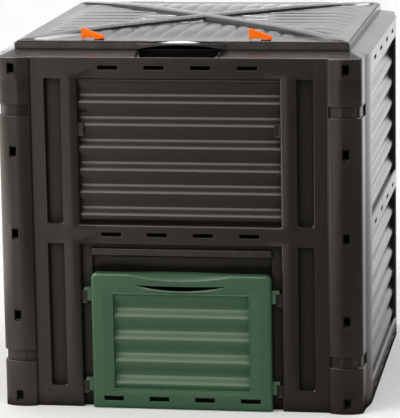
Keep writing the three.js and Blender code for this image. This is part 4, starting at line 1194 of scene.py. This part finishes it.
def floor_finish():
    """White floor; glossy plastic mirrors it bright behind the bin, and warm at the left in front."""
    material, tree, shader = new_material("studio_floor")
    nodes, links = tree.nodes, tree.links
    shader.inputs["Base Color"].default_value = (0.95, 0.95, 0.95, 1)
    shader.inputs["Roughness"].default_value = 0.9
    shader.inputs["Specular IOR Level"].default_value = 0.1
    place = nodes.new("ShaderNodeSeparateXYZ")
    links.new(nodes.new("ShaderNodeTexCoord").outputs["Object"], place.inputs["Vector"])
    slanted = math_node(tree, "MULTIPLY_ADD", place.outputs["Y"], FLOOR_SLANT, place.outputs["X"])
    to_left = ramp_node(tree, slanted, *LEFT_ZONE)
    to_right = ramp_node(tree, slanted, *RIGHT_ZONE)
    passed = ramp_node(tree, slanted, *PASSED_ZONE)
    in_front = mix_node(tree, passed, mix_node(tree, to_right, 0, to_left), PASSED_LEVEL)
    far_left = ramp_node(tree, place.outputs["X"], *FAR_LEFT_ZONE)
    beside = ramp_node(tree, place.outputs["Y"], *BESIDE_ZONE)
    at_side = mix_node(tree, beside, 0, far_left)
    behind = ramp_node(tree, place.outputs["Y"], *BEHIND_ZONE)
    backness = ramp_node(tree, place.outputs["Y"], *BACK_ZONE)
    off_middle = [math_node(tree, "ABSOLUTE", place.outputs[axis]) for axis in ("X", "Y")]
    open_floor = ramp_node(tree, math_node(tree, "MAXIMUM", *off_middle), *UNDER_ZONE)
    level = mix_node(tree, at_side, mix_node(tree, backness, in_front, behind), BESIDE_LEVEL)
    mirrored = nodes.new("ShaderNodeEmission")
    links.new(mix_node(tree, backness, WARM, NEUTRAL, "RGBA"), mirrored.inputs["Color"])
    links.new(mix_node(tree, open_floor, 0.0, level), mirrored.inputs["Strength"])
    choice = nodes.new("ShaderNodeMixShader")
    links.new(nodes.new("ShaderNodeLightPath").outputs["Is Glossy Ray"], choice.inputs["Fac"])
    links.new(shader.outputs["BSDF"], choice.inputs[1])
    links.new(mirrored.outputs["Emission"], choice.inputs[2])
    links.new(choice.outputs["Shader"], nodes["Material Output"].inputs["Surface"])
    return material


deselect_all()
bpy.ops.mesh.primitive_plane_add(size=80)
studio_floor = bpy.context.active_object
studio_floor.name = "studio_floor"
studio_floor.data.materials.append(floor_finish())


def area_lamp(name, place, target, size, power, colour):
    lamp = bpy.data.lights.new(name, "AREA")
    lamp.shape = "RECTANGLE"
    lamp.size, lamp.size_y = size
    lamp.energy = power
    lamp.color = colour
    holder = bpy.data.objects.new(name, lamp)
    bpy.context.collection.objects.link(holder)
    holder.location = place
    look = Vector(target) - Vector(place)
    holder.rotation_euler = look.to_track_quat("-Z", "Y").to_euler()


area_lamp("soft_lamp", (-2.4, -2.6, 3.2), (-0.1, -0.3, 0.4), (2.0, 2.0), 60, (1, 0.95, 0.88))


def studio_world():
    """White backdrop; plastic mirrors it bright behind and at the left, and dim at the right."""
    world = bpy.data.worlds.new("studio")
    bpy.context.scene.world = world
    world.use_nodes = True
    tree = world.node_tree
    nodes, links = tree.nodes, tree.links
    background = nodes["Background"]
    direction = nodes.new("ShaderNodeSeparateXYZ")
    links.new(nodes.new("ShaderNodeTexCoord").outputs["Generated"], direction.inputs["Vector"])
    height = direction.outputs["Z"]
    leftness = ramp_node(tree, direction.outputs["X"], *SKY_LEFT)
    leftness = mix_node(tree, ramp_node(tree, height, *SKY_RISEN), SKY_LOW, leftness)
    in_front = mix_node(tree, ramp_node(tree, height, *SKY_HIGH), leftness, SKY_TOP)
    backness = ramp_node(tree, direction.outputs["Y"], *SKY_BACK)
    glow = mix_node(tree, ramp_node(tree, height, *GLOW_START), ramp_node(tree, height, *BACK_LOW), GLOW)
    in_back = mix_node(tree, ramp_node(tree, height, *GLOW_END), glow, SKY_TOP)
    mirrored = mix_node(tree, backness, in_front, in_back)
    path = nodes.new("ShaderNodeLightPath")
    lit = mix_node(tree, path.outputs["Is Glossy Ray"], SKY_LEVEL, mirrored)
    level = mix_node(tree, path.outputs["Is Camera Ray"], lit, 1.0)
    tinted = mix_node(tree, backness, WARM, NEUTRAL, "RGBA")
    plain = mix_node(tree, path.outputs["Is Glossy Ray"], (1, 1, 1), tinted, "RGBA")
    links.new(plain, background.inputs["Color"])
    links.new(level, background.inputs["Strength"])


studio_world()

# The camera as it was fitted to the photograph; the frame's longer side is its height
FOCAL_PX, FRAME_PX = 2621.14, 418
SENSOR = 36
YAW, PITCH, ROLL = -0.16271, 0.19667, -0.016677
CAMERA_PLACE = mm(695.744, -4336.531, 1145.581)


def photo_camera():
    ahead = Vector((math.sin(YAW) * math.cos(PITCH), math.cos(YAW) * math.cos(PITCH), -math.sin(PITCH)))
    across = Vector((math.cos(YAW), -math.sin(YAW), 0))
    up = across.cross(ahead)
    right = across * math.cos(ROLL) + up * math.sin(ROLL)
    top = up * math.cos(ROLL) - across * math.sin(ROLL)
    camera = bpy.data.objects.new("photo_camera", bpy.data.cameras.new("photo_camera"))
    bpy.context.collection.objects.link(camera)
    turn = Matrix((right, top, -ahead)).transposed().to_4x4()
    camera.matrix_world = Matrix.Translation(CAMERA_PLACE) @ turn
    camera.data.sensor_width = SENSOR
    camera.data.lens = FOCAL_PX * SENSOR / FRAME_PX
    camera.data.clip_end = 200
    bpy.context.scene.camera = camera


photo_camera()
bpy.context.scene.view_settings.view_transform = "Standard"
